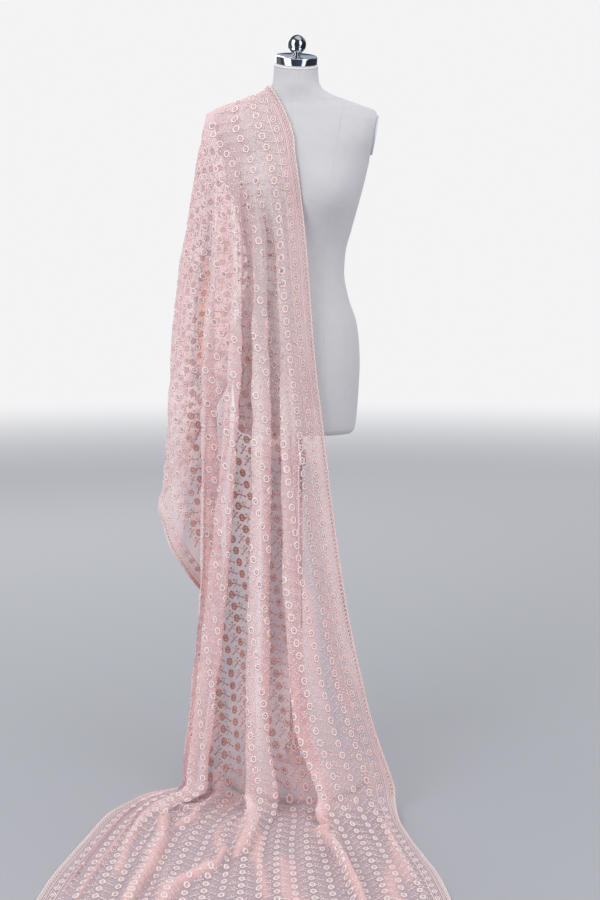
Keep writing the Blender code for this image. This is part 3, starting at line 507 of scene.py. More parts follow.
def floor_grid(last_row):
    """The cloth on the floor: rows from where the front fall lands to the front end."""
    lines = last_row[::SUB]
    reach = chain_length(last_row)
    share = (reach / reach[-1])[::SUB]
    first_spread, even_spread, more_spread = LANDING["spread"]
    rows = []
    for advance in FLOOR_ROWS:
        points = []
        for i, (landing, part) in enumerate(zip(lines, share)):
            start = landing[1] - LANDING["ahead"]
            y = start + (-FLOOR_END - start) * advance
            gone = start - y
            right = floor_edge(FLOOR_RIGHT, y)
            left = floor_edge(FLOOR_LEFT, y)
            laid = right + (left - right) * part
            spread = float(soft_step(first_spread, even_spread + more_spread * (1 - part), gone))
            x = landing[0] + (laid - landing[0]) * spread
            fade = math.exp(-((gone / LANDING["fade"]) ** LANDING["power"]))
            lift = LANDING["lift"] * fade * (1 - FOLD_LINES[i][1] / LANDING["deep"])
            roll = LANDING["roll"] * math.exp(-gone / LANDING["roll_fade"])
            points.append([x, y, WALL / 2 + max(lift, 0.0) + roll])
        rows.append(spline(points, SUB))
    grid = np.array(rows)
    for rise, places in FLOOR_RIDGES:
        path = np.array(places)
        at = smooth_track(-path[:, 1], path[:, 0], -grid[..., 1])
        along = soft_step(path[0, 1] + RIDGE_START[0], path[0, 1] - RIDGE_START[1], grid[..., 1])
        grid[..., 2] += rise * np.exp(-(((grid[..., 0] - at) / RIDGE_HALF) ** 2)) * along
    grid[..., 2] = np.maximum(grid[..., 2], WALL / 2)
    return grid


def between(grid, knots, at):
    """Rows of a grid read at other places along its knots, on a smooth curve through each column's points."""
    steps = np.diff(knots)
    wide = (slice(None),) + (None,) * (grid.ndim - 1)
    slopes = np.diff(grid, axis=0) / steps[wide]
    lean = np.empty_like(grid)
    lean[0] = slopes[0]
    lean[-1] = slopes[-1]
    both = (steps[:-1] + steps[1:])[wide]
    lean[1:-1] = (slopes[:-1] * steps[1:][wide] + slopes[1:] * steps[:-1][wide]) / both
    i = np.clip(np.searchsorted(knots, at, side="right") - 1, 0, len(steps) - 1)
    share = ((at - knots[i]) / steps[i])[wide]
    return curve_between(grid[i], grid[i + 1], lean[i], lean[i + 1], steps[i][wide], share)


def finer(grid, cuts):
    """The grid with each step between rows cut into this many, or into what the list says for that step."""
    count = len(grid) - 1
    cuts = [cuts] * count if isinstance(cuts, int) else cuts
    steps = np.linalg.norm(np.diff(grid[..., :3], axis=0), axis=-1)
    lengths = steps.reshape(count, -1).mean(axis=1)
    knots = np.concatenate([[0.0], np.cumsum(np.maximum(lengths, 1e-4))])
    at = [knots[i] + (knots[i + 1] - knots[i]) * np.arange(n) / n for i, n in enumerate(cuts)]
    return between(grid, knots, np.concatenate(at + [knots[-1:]]))


def across(grid, cuts):
    return np.swapaxes(finer(np.swapaxes(grid, 0, 1), cuts), 0, 1)


def grid_faces(index):
    """Corner lists of the squares of a grid of point numbers."""
    return np.stack([index[:-1, :-1], index[1:, :-1], index[1:, 1:], index[:-1, 1:]], axis=-1).reshape(-1, 4)


def welded(grids):
    """One list of points for several grids that share edges, and each grid as point numbers."""
    flat = np.concatenate([grid.reshape(-1, grid.shape[-1]) for grid in grids])
    keys = np.round(flat[:, :3] / (0.02 * MM)).astype(np.int64)
    _, first, inverse = np.unique(keys, axis=0, return_index=True, return_inverse=True)
    inverse = inverse.reshape(-1)
    numbers = []
    start = 0
    for grid in grids:
        count = grid.shape[0] * grid.shape[1]
        numbers.append(inverse[start : start + count].reshape(grid.shape[:2]))
        start += count
    return flat[first], numbers


# The flat cut. Its first guess is evened in rounds, each of some steps of a solver.
RIDGE_SPREAD = 1.3             # how much wider the cut is than the shoulder line, where it is gathered
CUT_SHARE = 0.9                # of the cloth's width that the first guess reaches, and the rows it takes
CUT_ROWS = 18
BUNCH_SHARE = 0.4              # of its width that it has at the bunch
SWAG_CUT = (0.67, 0.667)       # how far it goes across and down for each length down the side fold
REAR_CUT = ((0.22, 0.33), (0.1, 0.19))  # where the side's lines end, across and down: first, and how far on
FLAT_ROUNDS = 60
FLAT_STEPS = 30
FLAT_WEIGHTS = (0.05, 3.0)


def cross_of(first, second):
    return first[:, 0] * second[:, 1] - first[:, 1] * second[:, 0]


def flattened(points, triangles, start, pinned):
    """The cloth laid flat: places in its cut, each triangle kept as near to its own shape as it can be."""
    a, b, c = (points[triangles[:, k]] for k in range(3))
    base = np.linalg.norm(b - a, axis=1)
    along = ((c - a) * (b - a)).sum(axis=1) / np.maximum(base, 1e-9)
    height = np.sqrt(np.maximum(((c - a) ** 2).sum(axis=1) - along**2, 1e-14))
    rest = np.zeros((len(triangles), 3, 2))
    rest[:, 1, 0] = base
    rest[:, 2, 0] = along
    rest[:, 2, 1] = -height
    sides = []
    for i, j, k in ((0, 1, 2), (1, 2, 0), (2, 0, 1)):
        first, second = rest[:, i] - rest[:, k], rest[:, j] - rest[:, k]
        area = np.maximum(np.abs(cross_of(first, second)), 1e-10)
        weight = np.clip((first * second).sum(axis=1) / area, *FLAT_WEIGHTS)
        sides.append((triangles[:, i], triangles[:, j], rest[:, i] - rest[:, j], weight))
    count = len(points)
    total = sum(np.bincount(i, w, count) + np.bincount(j, w, count) for i, j, _, w in sides)[:, None]
    held = np.zeros(count, bool)
    held[pinned] = True
    starts, stops, _, weights = (np.concatenate(parts) for parts in zip(*sides))

    def pull(values):
        out = total * values
        for column in (0, 1):
            out[:, column] -= np.bincount(starts, weights * values[stops, column], count)
            out[:, column] -= np.bincount(stops, weights * values[starts, column], count)
        out[held] = 0.0
        return out

    flat = np.array(start, float)
    for _ in range(FLAT_ROUNDS):
        cosine = np.zeros(len(triangles))
        sine = np.zeros(len(triangles))
        for i, j, side, weight in sides:
            span = flat[i] - flat[j]
            cosine += weight * (span * side).sum(axis=1)
            sine += weight * (span[:, 1] * side[:, 0] - span[:, 0] * side[:, 1])
        size = np.maximum(np.hypot(cosine, sine), 1e-12)
        cosine /= size
        sine /= size
        goal = np.zeros((count, 2))
        for i, j, side, weight in sides:
            turned = (cosine * side[:, 0] - sine * side[:, 1], sine * side[:, 0] + cosine * side[:, 1])
            for column in (0, 1):
                value = weight * turned[column]
                goal[:, column] += np.bincount(i, value, count) - np.bincount(j, value, count)
        goal[held] = 0.0
        left = goal - pull(flat)
        left[held] = 0.0
        scaled = left / total
        way = scaled.copy()
        size = (left * scaled).sum(axis=0)
        for _ in range(FLAT_STEPS):
            pulled = pull(way)
            step = size / np.maximum((way * pulled).sum(axis=0), 1e-30)
            flat += step * way
            left -= step * pulled
            scaled = left / total
            fresh = (left * scaled).sum(axis=0)
            way = scaled + fresh / np.maximum(size, 1e-30) * way
            size = fresh
    return flat


def coarse_cloth():
    """The drape's coarse grids: down the cloth from the bunch, the side swag, and the back of the side."""
    front = front_grid()
    behind = np.array([spline(shoulder_row(-turn), SUB) for turn in TURNS])
    back = back_grid(front, behind)
    low = np.array([spline(front_row(z), SUB) for z in LOW_DROPS])
    floor = floor_grid(low[-1])
    valley = VALLEY * SUB
    turns = len(TURNS) - 1
    top = across(np.swapaxes(back[: VALLEY + 1, turns:], 0, 1), SUB)
    long = np.concatenate([top[:0:-1], behind[:0:-1], front[:, : valley + 1], low, floor])
    swag = front[:, valley:].copy()
    side = back[VALLEY:].copy()
    return long, swag, side


def cut_places(long, swag, side):
    """The place in the flat cut of each point of the coarse grids, as a grid of (u, v) for each."""
    points, (main, fold, rear) = welded([long, swag, side])
    ridge = BACK_ROWS
    edge = main[:, 0]
    v_edge = chain_length(points[edge])
    place = np.zeros((len(points), 2))
    reach = chain_length(points[main[ridge]])
    width = reach[-1] * RIDGE_SPREAD
    for r in range(len(main)):
        share = chain_length(points[main[r]])
        share = share / share[-1]
        wide = width
        if r > ridge:
            wide = width + (CLOTH_WIDTH * CUT_SHARE - width) * min(1.0, (r - ridge) / CUT_ROWS)
        spread = BUNCH_SHARE + (1 - BUNCH_SHARE) * min(1.0, r / ridge)
        place[main[r]] = np.stack([share * wide * spread, v_edge[r] + 0 * share], axis=1)
    down = chain_length(points[fold[:, -1]])
    share = np.linspace(0.0, 1.0, fold.shape[1])[:, None]
    for r in range(len(fold)):
        first = place[main[ridge + r, -1]]
        last = np.array([width + SWAG_CUT[0] * down[r], v_edge[ridge] + SWAG_CUT[1] * down[r]])
        place[fold[r]] = first + (last - first) * share
    far = chords_cut(np.pad(place[fold[:, -1]], ((0, 0), (0, 1))), 2)
    starts = np.concatenate([place[fold[0]], far[1:, :2]])
    count = len(starts)
    share = np.linspace(0.0, 1.0, rear.shape[1])[:, None]
    for r in range(1, count):
        last = np.array([first + more * r / count for first, more in REAR_CUT])
        line = starts[r] + (last - starts[r]) * share
        known = rear[r] if r > fold.shape[1] - 1 else rear[r][1:]
        place[known] = line[-len(known):]
    place[edge] = np.stack([np.zeros(len(edge)), v_edge], axis=1)
    place[main[ridge]] = np.stack([reach * RIDGE_SPREAD, np.full(len(reach), v_edge[ridge])], axis=1)
    squares = np.concatenate([grid_faces(index) for index in (main, fold, rear)])
    triangles = np.concatenate([squares[:, [0, 1, 2]], squares[:, [0, 2, 3]]])
    a, b, c = triangles.T
    triangles = triangles[(a != b) & (b != c) & (a != c)]
    place = flattened(points, triangles, place, np.concatenate([edge, main[ridge]]))
    return [place[index] for index in (main, fold, rear)]


# Soft creases of the net: the rise, negative in a trough, the half width, how far it gathers the net, and the
# places that it runs through, as fold line and height. Heights under zero are on the floor. Lines 16 to 20
# are the swag, and lines past 20 run from the side fold to the bunch behind.
# The rise of a crease also paints the net lighter on its crest and darker, as painted shade, in its trough.
CREASES = (
    (0.0026, 0.014, 0.1, ((0.9, 1.30), (0.7, 0.95))),
    (-0.0034, 0.013, 0.1, ((1.5, 1.36), (1.7, 0.86))),
    (0.0032, 0.013, 0.1, ((2.2, 1.33), (2.5, 1.02))),
    (-0.0040, 0.015, 0.2, ((2.7, 1.22), (2.5, 0.98), (2.4, 0.74))),
    (-0.0040, 0.008, 0.5, ((0.62, 1.41), (0.50, 1.35), (0.66, 1.28))),
    (0.0034, 0.010, 0.1, ((3.6, 1.38), (3.5, 1.10))),
    (-0.0026, 0.010, 0.1, ((4.6, 1.40), (4.5, 1.16))),
    (0.0040, 0.009, 0.2, ((5.4, 1.37), (5.6, 1.22))),
    (0.0034, 0.010, 0.1, ((6.3, 1.40), (6.4, 1.05))),
    (-0.0030, 0.009, 0.1, ((7.5, 1.39), (7.4, 1.18))),
    (0.0042, 0.008, 0.2, ((8.3, 1.41), (8.6, 1.24))),
    (-0.0036, 0.008, 0.15, ((9.4, 1.42), (9.3, 1.20))),
    (0.0042, 0.008, 0.2, ((10.2, 1.40), (10.5, 1.16))),
    (-0.0044, 0.008, 0.5, ((11.4, 1.42), (11.3, 1.12))),
    (0.0040, 0.008, 0.2, ((12.5, 1.41), (12.3, 1.00))),
    (-0.0044, 0.008, 0.5, ((13.6, 1.40), (13.8, 1.18))),
    (0.0046, 0.009, 0.2, ((14.6, 1.38), (14.5, 0.98))),
    (-0.0046, 0.009, 0.4, ((15.5, 1.30), (15.3, 0.84))),
    (0.0046, 0.016, 0.1, ((0.5, 0.86), (0.9, 0.30))),
    (-0.0056, 0.016, 0.2, ((1.4, 0.78), (1.2, 0.16))),
    (0.0056, 0.015, 0.1, ((2.5, 0.92), (2.7, 0.34))),
    (-0.0040, 0.012, 0.2, ((3.3, 0.70), (3.6, 0.12))),
    (-0.0030, 0.016, 0.8, ((4.5, 0.92), (4.5, 0.58), (4.7, 0.26))),
    (0.0030, 0.011, 0.6, ((6.6, 1.02), (6.5, 0.38), (6.5, 0.06))),
    (-0.0046, 0.011, 0.2, ((7.4, 0.66), (7.7, 0.10))),
    (-0.0020, 0.014, 0.6, ((13.5, 1.12), (13.5, 0.60), (13.5, 0.06))),
    (0.0038, 0.011, 0.1, ((9.2, 1.05), (9.0, 0.50))),
    (-0.0052, 0.012, 0.3, ((11.6, 0.92), (11.8, 0.30))),
    (0.0052, 0.012, 0.1, ((12.6, 0.72), (12.4, 0.14))),
    (0.0046, 0.012, 0.1, ((14.5, 0.90), (14.7, 0.40))),
    (-0.0046, 0.012, 0.3, ((16.6, 1.36), (16.9, 0.92))),
    (0.0056, 0.014, 0.1, ((17.2, 1.20), (17.6, 0.70))),
    (-0.0042, 0.012, 0.2, ((18.1, 1.34), (18.3, 0.86))),
    (0.0050, 0.014, 0.1, ((18.5, 0.92), (17.8, 0.50))),
    (-0.0056, 0.014, 0.2, ((16.8, 0.70), (17.4, 0.42))),
    (0.0056, 0.020, 0.1, ((21.2, 1.40), (24.5, 1.20))),
    (-0.0066, 0.022, 0.2, ((21.0, 1.16), (25.5, 1.04))),
    (0.0066, 0.022, 0.1, ((21.5, 0.98), (26.5, 0.90))),
    (-0.0060, 0.020, 0.2, ((21.0, 0.80), (26.0, 0.74))),
    (0.0066, 0.024, 0.1, ((22.0, 0.62), (27.0, 0.58))),
    (-0.0056, 0.020, 0.2, ((22.5, 0.50), (27.5, 0.47))),
    (0.0000, 0.009, 0.6, ((2.12, 0.98), (2.08, 0.62), (2.1, 0.24))),
    (0.0120, 0.010, 1.0, ((2.7, 0.10), (2.9, 0.00), (4.1, -0.15), (3.8, -0.23), (3.5, -0.39), (3.2, -0.55),
                          (3.0, -0.74))),
    (0.0110, 0.009, 1.0, ((7.1, 0.06), (6.6, -0.06), (6.4, -0.14), (6.6, -0.23), (7.0, -0.30))),
    (0.0110, 0.009, 0.9, ((7.2, -0.26), (7.7, -0.32), (8.3, -0.40), (9.0, -0.50), (9.3, -0.66))),
    (0.0120, 0.010, 1.0, ((9.6, 0.05), (9.3, -0.05), (9.2, -0.15), (9.7, -0.22))),
    (0.0100, 0.010, 1.0, ((9.4, -0.10), (10.6, -0.10), (11.6, -0.06))),
    (-0.0040, 0.010, 0.8, ((9.3, -0.14), (10.4, -0.14), (11.2, -0.10))),
    (0.0110, 0.010, 0.9, ((10.8, -0.10), (10.3, -0.21), (9.95, -0.32), (10.0, -0.44), (10.2, -0.56),
                          (10.3, -0.70))),
    (0.0060, 0.012, 0.5, ((12.0, -0.12), (11.6, -0.28), (11.3, -0.44))),
    (0.0060, 0.010, 0.5, ((6.2, -0.10), (6.0, -0.17), (6.1, -0.30), (5.7, -0.54))),
    (0.0050, 0.012, 0.3, ((0.9, -0.05), (1.5, -0.22), (1.7, -0.46))),
    (0.0050, 0.012, 0.3, ((2.0, -0.30), (2.3, -0.48), (2.0, -0.68))),
    (0.0060, 0.011, 0.4, ((4.9, -0.30), (5.0, -0.46), (4.6, -0.66))),
    (0.0050, 0.010, 0.3, ((8.0, -0.06), (8.2, -0.20), (8.0, -0.30))),
    (0.0060, 0.012, 0.4, ((12.9, -0.05), (12.6, -0.30), (12.9, -0.58))),
    (0.0060, 0.012, 0.4, ((14.4, -0.06), (14.5, -0.28), (15.0, -0.56))),
)
LINE_WIDTH = 0.05              # of the cut from one fold line to the next
CREASE_STARTS = (-0.12, 0.2)   # share of its length over which a crease grows, and over which it ends
CREASE_ENDS = (1.12, 0.8)
# For each fold line from 0 to 20: the painted light of the net, 1 for a painted highlight on a crest and -1
# for painted shade in a deep valley; the same painted light on its thread; how closely it is gathered; and
# the height below which that fold is full.
FOLD_LOOKS = (
    # painted light, painted thread light, gather, full below
    (0.00, -0.05, 0.00, 1.20),
    (-0.10, -0.20, 0.05, 1.20),
    (0.00, -0.10, 0.00, 0.90),
    (0.30, 0.40, 0.00, 0.86),
    (-0.05, -0.30, 0.10, 0.72),
    (-0.14, -0.60, 0.10, 0.70),
    (-0.10, 0.00, 0.10, 0.90),
    (0.70, 0.50, 0.05, 1.00),
    (-0.30, -0.20, 0.10, 1.00),
    (-0.32, -1.00, 0.00, 0.98),
    (-0.30, -0.80, 0.15, 0.90),
    (0.05, 0.20, 0.30, 1.20),
    (0.60, 0.50, 0.30, 1.20),
    (-0.20, 0.00, 0.38, 1.20),
    (-0.10, 0.15, 0.45, 1.20),
    (0.45, 0.45, 0.40, 1.20),
    (-0.35, -0.90, 0.20, 0.80),
    (-0.40, -1.00, 0.20, 0.80),
    (0.20, 0.20, 0.35, 1.20),
    (0.35, 0.45, 0.35, 1.20),
    (0.30, 0.40, 0.35, 1.20),
)
# Soft patches of painted light and shade: fold line, half width in lines, lowest and highest place, and what
# each adds to the painted light of the net and of its thread.
LIGHT_PATCHES = (
    (16.5, 1.0, 0.92, 1.19, -0.85, 0.25),
    (9.8, 0.45, 0.06, 0.56, -0.60, 0.25),
    (4.2, 4.6, 0.80, 1.48, 0.85, -0.10),
    (9.0, 0.9, 0.80, 1.05, 0.30, 0.30),
    (0.1, 0.55, 0.70, 1.70, -0.80, 0.10),
    (0.8, 1.9, 0.08, 0.74, -0.30, 0.00),
)
FOLD_GROWTH = 0.17             # height over which a fold grows to full
FOLD_FOOT = (-0.25, 0.04)      # heights over which the folds fade out on the floor
PATCH_EDGE = 0.07
CREASE_TONES = (-0.35, 0.55)   # darkest painted shade and lightest painted highlight that a crease gives the net
CREASE_LIGHT = 0.0085          # rise of a crease that is painted full in the light
RIPPLE_LIGHT = 0.5             # how much of that a ripple's rise counts for in the painted light
# Long low waves of the net: length across and along the cut, turn, rise.
RIPPLES = (
    (0.046, 0.90, 0.3, 0.0012),
    (0.031, 0.55, 1.9, 0.0009),
    (0.073, 0.37, 4.1, 0.0015),
    (0.120, 0.23, 2.6, 0.0017),
)
RIPPLE_BEND = 1.7
RIPPLE_SWELL = 0.4
TAIL_RIPPLE = 0.3              # how strong the ripples are on the back end
BACK_SPAN = 0.35               # rise in the height scale from the shoulder line to the bunch
FOLD_NUMBER = 20               # of the side fold among the lines
TAIL_SHIFT = 0.02              # gap in the flat cut between the back end and the rest
TAIL_LINE = 40                 # the line and the height that stand for the whole back end
TAIL_HEIGHT = 5
TAIL_CUTS = (3, 5)             # finer steps of the back end, down it and across
MEET_COLUMNS = 5               # columns of values that give a place, and not a line or height
SWAG_EASE = 6                  # columns over which the swag is moved to meet the front
SIDE_EASE = 8                  # and the side to meet both


def height_scale():
    """The height that stands for each row of the long grid: past the shoulder line it goes on rising."""
    behind = [RIDGE_SCALE + BACK_SPAN * k / BACK_ROWS for k in range(BACK_ROWS, 0, -1)]
    over = [turn_scale(turn) for turn in TURNS]
    return np.array(behind + over + list(DROPS) + list(LOW_DROPS) + [-FLOOR_END * f for f in FLOOR_ROWS])


def with_scales(grids):
    """Each coarse grid with its line number and height scale as two more values a point."""
    long, swag, side = grids
    heights = height_scale()
    front = heights[BACK_ROWS : BACK_ROWS + len(swag)]
    halfway = np.interp(np.arange(1, 2 * len(swag) - 1) / 2, np.arange(len(swag)), front)
    started = np.concatenate([np.full(swag.shape[1], RIDGE_SCALE), halfway])
    scales = (
        (long, np.arange(long.shape[1]) / SUB, heights),
        (swag, VALLEY + np.arange(swag.shape[1]) / SUB, front),
        (side, FOLD_NUMBER + np.arange(side.shape[1]), started),
    )
    return [np.dstack([grid, *np.meshgrid(lines, levels)]) for grid, lines, levels in scales]


def row_cuts(grid):
    steps = np.linalg.norm(np.diff(grid[..., :3], axis=0), axis=-1).mean(axis=1)
    return [max(2, int(math.ceil(step / FINE_STEP))) for step in steps]


def meet(grid, first_line, keep):
    """The grid with its first line put on the line given, and the move eased out over the next few."""
    move = first_line - grid[:, 0]
    move[:, MEET_COLUMNS:] = 0.0
    fade = np.clip(1 - np.arange(grid.shape[1]) / keep, 0.0, 1.0)
    return grid + move[:, None] * fade[None, :, None]


def fine_cloth():
    """The fine grids of the whole cloth. Each point has its place, its place in the cut, and its scales."""
    coarse = coarse_cloth()
    places = cut_places(*coarse)
    long, swag, side = with_scales([np.dstack([grid, place]) for grid, place in zip(coarse, places)])
    cuts = row_cuts(long)
    ridge = BACK_ROWS
    fold_cuts = cuts[ridge : ridge + len(swag) - 1]
    long = across(finer(long, cuts), FINE_ACROSS)
    swag = across(finer(swag, fold_cuts), FINE_ACROSS)
    top = sum(cuts[:ridge])
    swag = meet(swag, long[top : top + len(swag), -1], SWAG_EASE)
    swag_columns = side.shape[0] - 1 - 2 * len(fold_cuts)
    side = across(side, cuts[:ridge][::-1])
    knots = np.arange(side.shape[0], dtype=float)
    at = list(np.arange(swag_columns * FINE_ACROSS) / FINE_ACROSS)
    for r, n in enumerate(fold_cuts):
        at += list(swag_columns + 2 * r + 2 * np.arange(n) / n)
    side = between(side, knots, np.array(at + [knots[-1]]))
    side = meet(side, np.concatenate([swag[0, :-1], swag[:, -1]]), SIDE_EASE)
    side[0, :, :MEET_COLUMNS] = long[top::-1, -1][:, :MEET_COLUMNS]
    tail = tail_grid()
    count = tail.shape[0]
    u = np.linspace(0.0, CLOTH_WIDTH, count)[:, None] + 0 * tail[..., 0]
    length = np.linspace(TAIL["short"], TAIL["long"], count)[:, None]
    v = -TAIL_SHIFT - length * np.array(TAIL_ROWS)[None, :]
    tail = np.dstack([tail, u, v, TAIL_LINE + 0 * u, TAIL_HEIGHT + 0 * u])
    tail = across(finer(tail, TAIL_CUTS[0]), TAIL_CUTS[1])
    return [long, swag, side, tail[::-1]]


def squares_of(index):
    """Corner lists of a grid's squares, wound so that the outer side of the drape faces out."""
    corners = [index[:-1, :-1], index[:-1, 1:], index[1:, 1:], index[1:, :-1]]
    return np.stack(corners, axis=-1).reshape(-1, 4)


def point_normals(points, squares):
    a, b, c, d = (points[squares[:, k]] for k in range(4))
    face = np.cross(c - a, d - b)
    normals = np.zeros_like(points)
    for k in range(4):
        for axis in range(3):
            normals[:, axis] += np.bincount(squares[:, k], face[:, axis], len(points))
    return normals / np.maximum(np.linalg.norm(normals, axis=1), 1e-12)[:, None]


def creased(line, height):
    """How far the creases stand out at each point, and how far they gather the net there."""
    rise = np.zeros(len(line))
    gather = np.zeros(len(line))
    at = np.stack([line * LINE_WIDTH, height], axis=1)
    for depth, half, close, places in CREASES:
        path = np.array(places) * (LINE_WIDTH, 1.0)
        reach = chain_length(path)
        gap = np.full(len(line), 1e9)
        along = np.zeros(len(line))
        for k in range(len(path) - 1):
            way = path[k + 1] - path[k]
            share = np.clip((at - path[k]) @ way / (way @ way), 0.0, 1.0)
            distance = np.linalg.norm(at - path[k] - share[:, None] * way, axis=1)
            nearer = distance < gap
            gap = np.where(nearer, distance, gap)
            along = np.where(nearer, (reach[k] + share * (reach[k + 1] - reach[k])) / reach[-1], along)
        strength = np.exp(-((gap / half) ** 2)) * soft_step(*CREASE_STARTS, along)
        strength *= soft_step(*CREASE_ENDS, along)
        rise += depth * strength
        gather = np.maximum(gather, close * strength)
    return rise, gather


def fold_looks(line, height):
    """Painted light and shade of the net and of its thread, and the gathering, at each point because of the
    pleats.
    """
    last = len(FOLD_LOOKS) - 1
    numbers = np.arange(last + 1)
    at = np.clip(line, 0, last)
    light, thread, gather, full = (smooth_track(numbers, table_column(FOLD_LOOKS, c), at) for c in range(4))
    grown = soft_step(FOLD_GROWTH, 0.0, height - full) * soft_step(*FOLD_FOOT, height) * (line <= last)
    looks = np.stack([light * grown, gather * grown, thread * grown], axis=1)
    for middle, half, low, high, more_light, more_thread in LIGHT_PATCHES:
        strength = np.exp(-(((line - middle) / half) ** 2))
        up = soft_step(low - PATCH_EDGE, low + PATCH_EDGE, height)
        strength *= up * soft_step(high + PATCH_EDGE, high - PATCH_EDGE, height)
        looks[:, 0] += more_light * strength
        looks[:, 2] += more_thread * strength
    return looks


def ripple_rise(u, v):
    """How far the ripples lift the net at each place of the cut."""
    rise = np.zeros(len(u))
    for across_wave, along_wave, turn, size in RIPPLES:
        bend = RIPPLE_BEND * np.sin(2 * np.pi * v / along_wave + turn)
        swing = np.sin(2 * np.pi * u / across_wave + bend + turn)
        swell = (1 - RIPPLE_SWELL) + RIPPLE_SWELL * np.sin(2 * np.pi * v / along_wave + 2 * turn)
        rise += size * swing * swell
    return rise


WORK = {}                      # what is worked out once and used by several pieces
FLOOR_TURN = (0.10, -0.05)     # heights over which the net passes from hanging to lying
FLOOR_SHADE = 0.42              # painted shade: how much darker the net is painted there
FLOOR_THREAD_LIGHT = 0.50              # painted light: how much lighter its thread is painted there
FLOOR_SOFT = 0.5               # how much weaker the painted light and shade of its creases are there
CHEST = (0.90, 1.05)           # heights over which the chest begins
CHEST_LINES = 15               # fold lines that are on it
CHEST_SOFT = 0.8               # how much weaker the painted shade of the troughs is there
OVER_FORM = (1.15, 1.45)       # heights over which the net comes to lie on the form
FORM_EASE = 0.55               # how much lower its creases are there
NET_CLEAR = 4.0 * MM


def draped_cloth():
    """The net's points, faces and places in the cut, worked out once and used by every piece on it."""
    if "cloth" in WORK:
        return WORK["cloth"]
    points, numbers = welded(fine_cloth())
    squares = np.concatenate([squares_of(index) for index in numbers])
    squares = squares[[len(set(square)) == 4 for square in squares]]
    place, cut, line, height = points[:, :3].copy(), points[:, 3:5].copy(), points[:, 5], points[:, 6]
    rise, gather = creased(line, height)
    ripple = ripple_rise(cut[:, 0], cut[:, 1]) * np.where(line > TAIL_LINE - 1, TAIL_RIPPLE, 1.0)
    folds = fold_looks(line, height)
    on_floor = soft_step(*FLOOR_TURN, height)
    on_chest = soft_step(*CHEST, height) * (line < CHEST_LINES)
    over_form = soft_step(*OVER_FORM, height)
    # Painted light and shade: crests and ripples paint the net lighter and troughs paint it darker, less so
    # on the floor and, for troughs, on the chest; on the floor the net gets painted shade and its thread
    # painted light.
    tone = np.clip((rise + RIPPLE_LIGHT * ripple) / CREASE_LIGHT, *CREASE_TONES) * (1 - FLOOR_SOFT * on_floor)
    folds[:, 0] += np.where(tone < 0, tone * (1 - CHEST_SOFT * on_chest), tone)
    folds[:, 0] -= FLOOR_SHADE * on_floor
    folds[:, 1] = np.maximum(folds[:, 1], gather)
    folds[:, 2] += FLOOR_THREAD_LIGHT * on_floor
    place += point_normals(place, squares) * ((rise + ripple) * (1 - FORM_EASE * over_form))[:, None]
    place = outside(place, NET_CLEAR)
    place[:, 2] = np.maximum(place[:, 2], WALL / 2)
    corners = [tuple(int(i) for i in square) for square in squares]
    tree = BVHTree.FromPolygons([(u, v, 0.0) for u, v in cut], corners)
    WORK["cloth"] = {"place": place, "cut": cut, "squares": squares, "normals": point_normals(place, squares),
                     "tree": tree, "numbers": numbers, "folds": np.clip(folds, -1.0, 1.0)}
    return WORK["cloth"]


def onto_cloth(spots):
    """Points of the flat cut, (u, v, lift), carried onto the drape, how far off each lay, and the painted
    fold light and gathering there.
    """
    cloth = draped_cloth()
    faces = np.empty(len(spots), int)
    off = np.empty(len(spots))
    for i, (u, v, _) in enumerate(spots):
        _, _, faces[i], off[i] = cloth["tree"].find_nearest(Vector((u, v, 0.0)))
    corners = cloth["squares"][faces]
    flat = cloth["cut"][corners]
    best = np.full(len(spots), -1e9)
    weights = np.zeros((len(spots), 4))
    for i, j, k in ((0, 1, 2), (0, 2, 3)):
        first, second, spot = flat[:, j] - flat[:, i], flat[:, k] - flat[:, i], spots[:, :2] - flat[:, i]
        area = cross_of(first, second)
        area = np.where(np.abs(area) < 1e-12, 1e-12, area)
        to_second, to_third = cross_of(spot, second) / area, cross_of(first, spot) / area
        three = np.stack([1 - to_second - to_third, to_second, to_third], axis=1)
        worst = three.min(axis=1)
        fresh = np.zeros_like(weights)
        fresh[:, (i, j, k)] = three
        weights = np.where((worst > best)[:, None], fresh, weights)
        best = np.maximum(best, worst)
    weights = np.clip(weights, *SPOT_WEIGHTS)
    weights /= weights.sum(axis=1)[:, None]
    place, normal, folds = (
        (cloth[key][corners] * weights[:, :, None]).sum(axis=1) for key in ("place", "normals", "folds")
    )
    normal /= np.maximum(np.linalg.norm(normal, axis=1), 1e-9)[:, None]
    return place + normal * spots[:, 2:3], off, folds


def with_folds(piece, folds):
    """Gives a piece on the net the painted light and shade and the gathering of the folds under it, for its
    finish to read.
    """
    layer = piece.data.attributes.new("folds", "FLOAT_VECTOR", "POINT")
    layer.data.foreach_set("vector", np.asarray(folds, np.float32).ravel())
    return piece


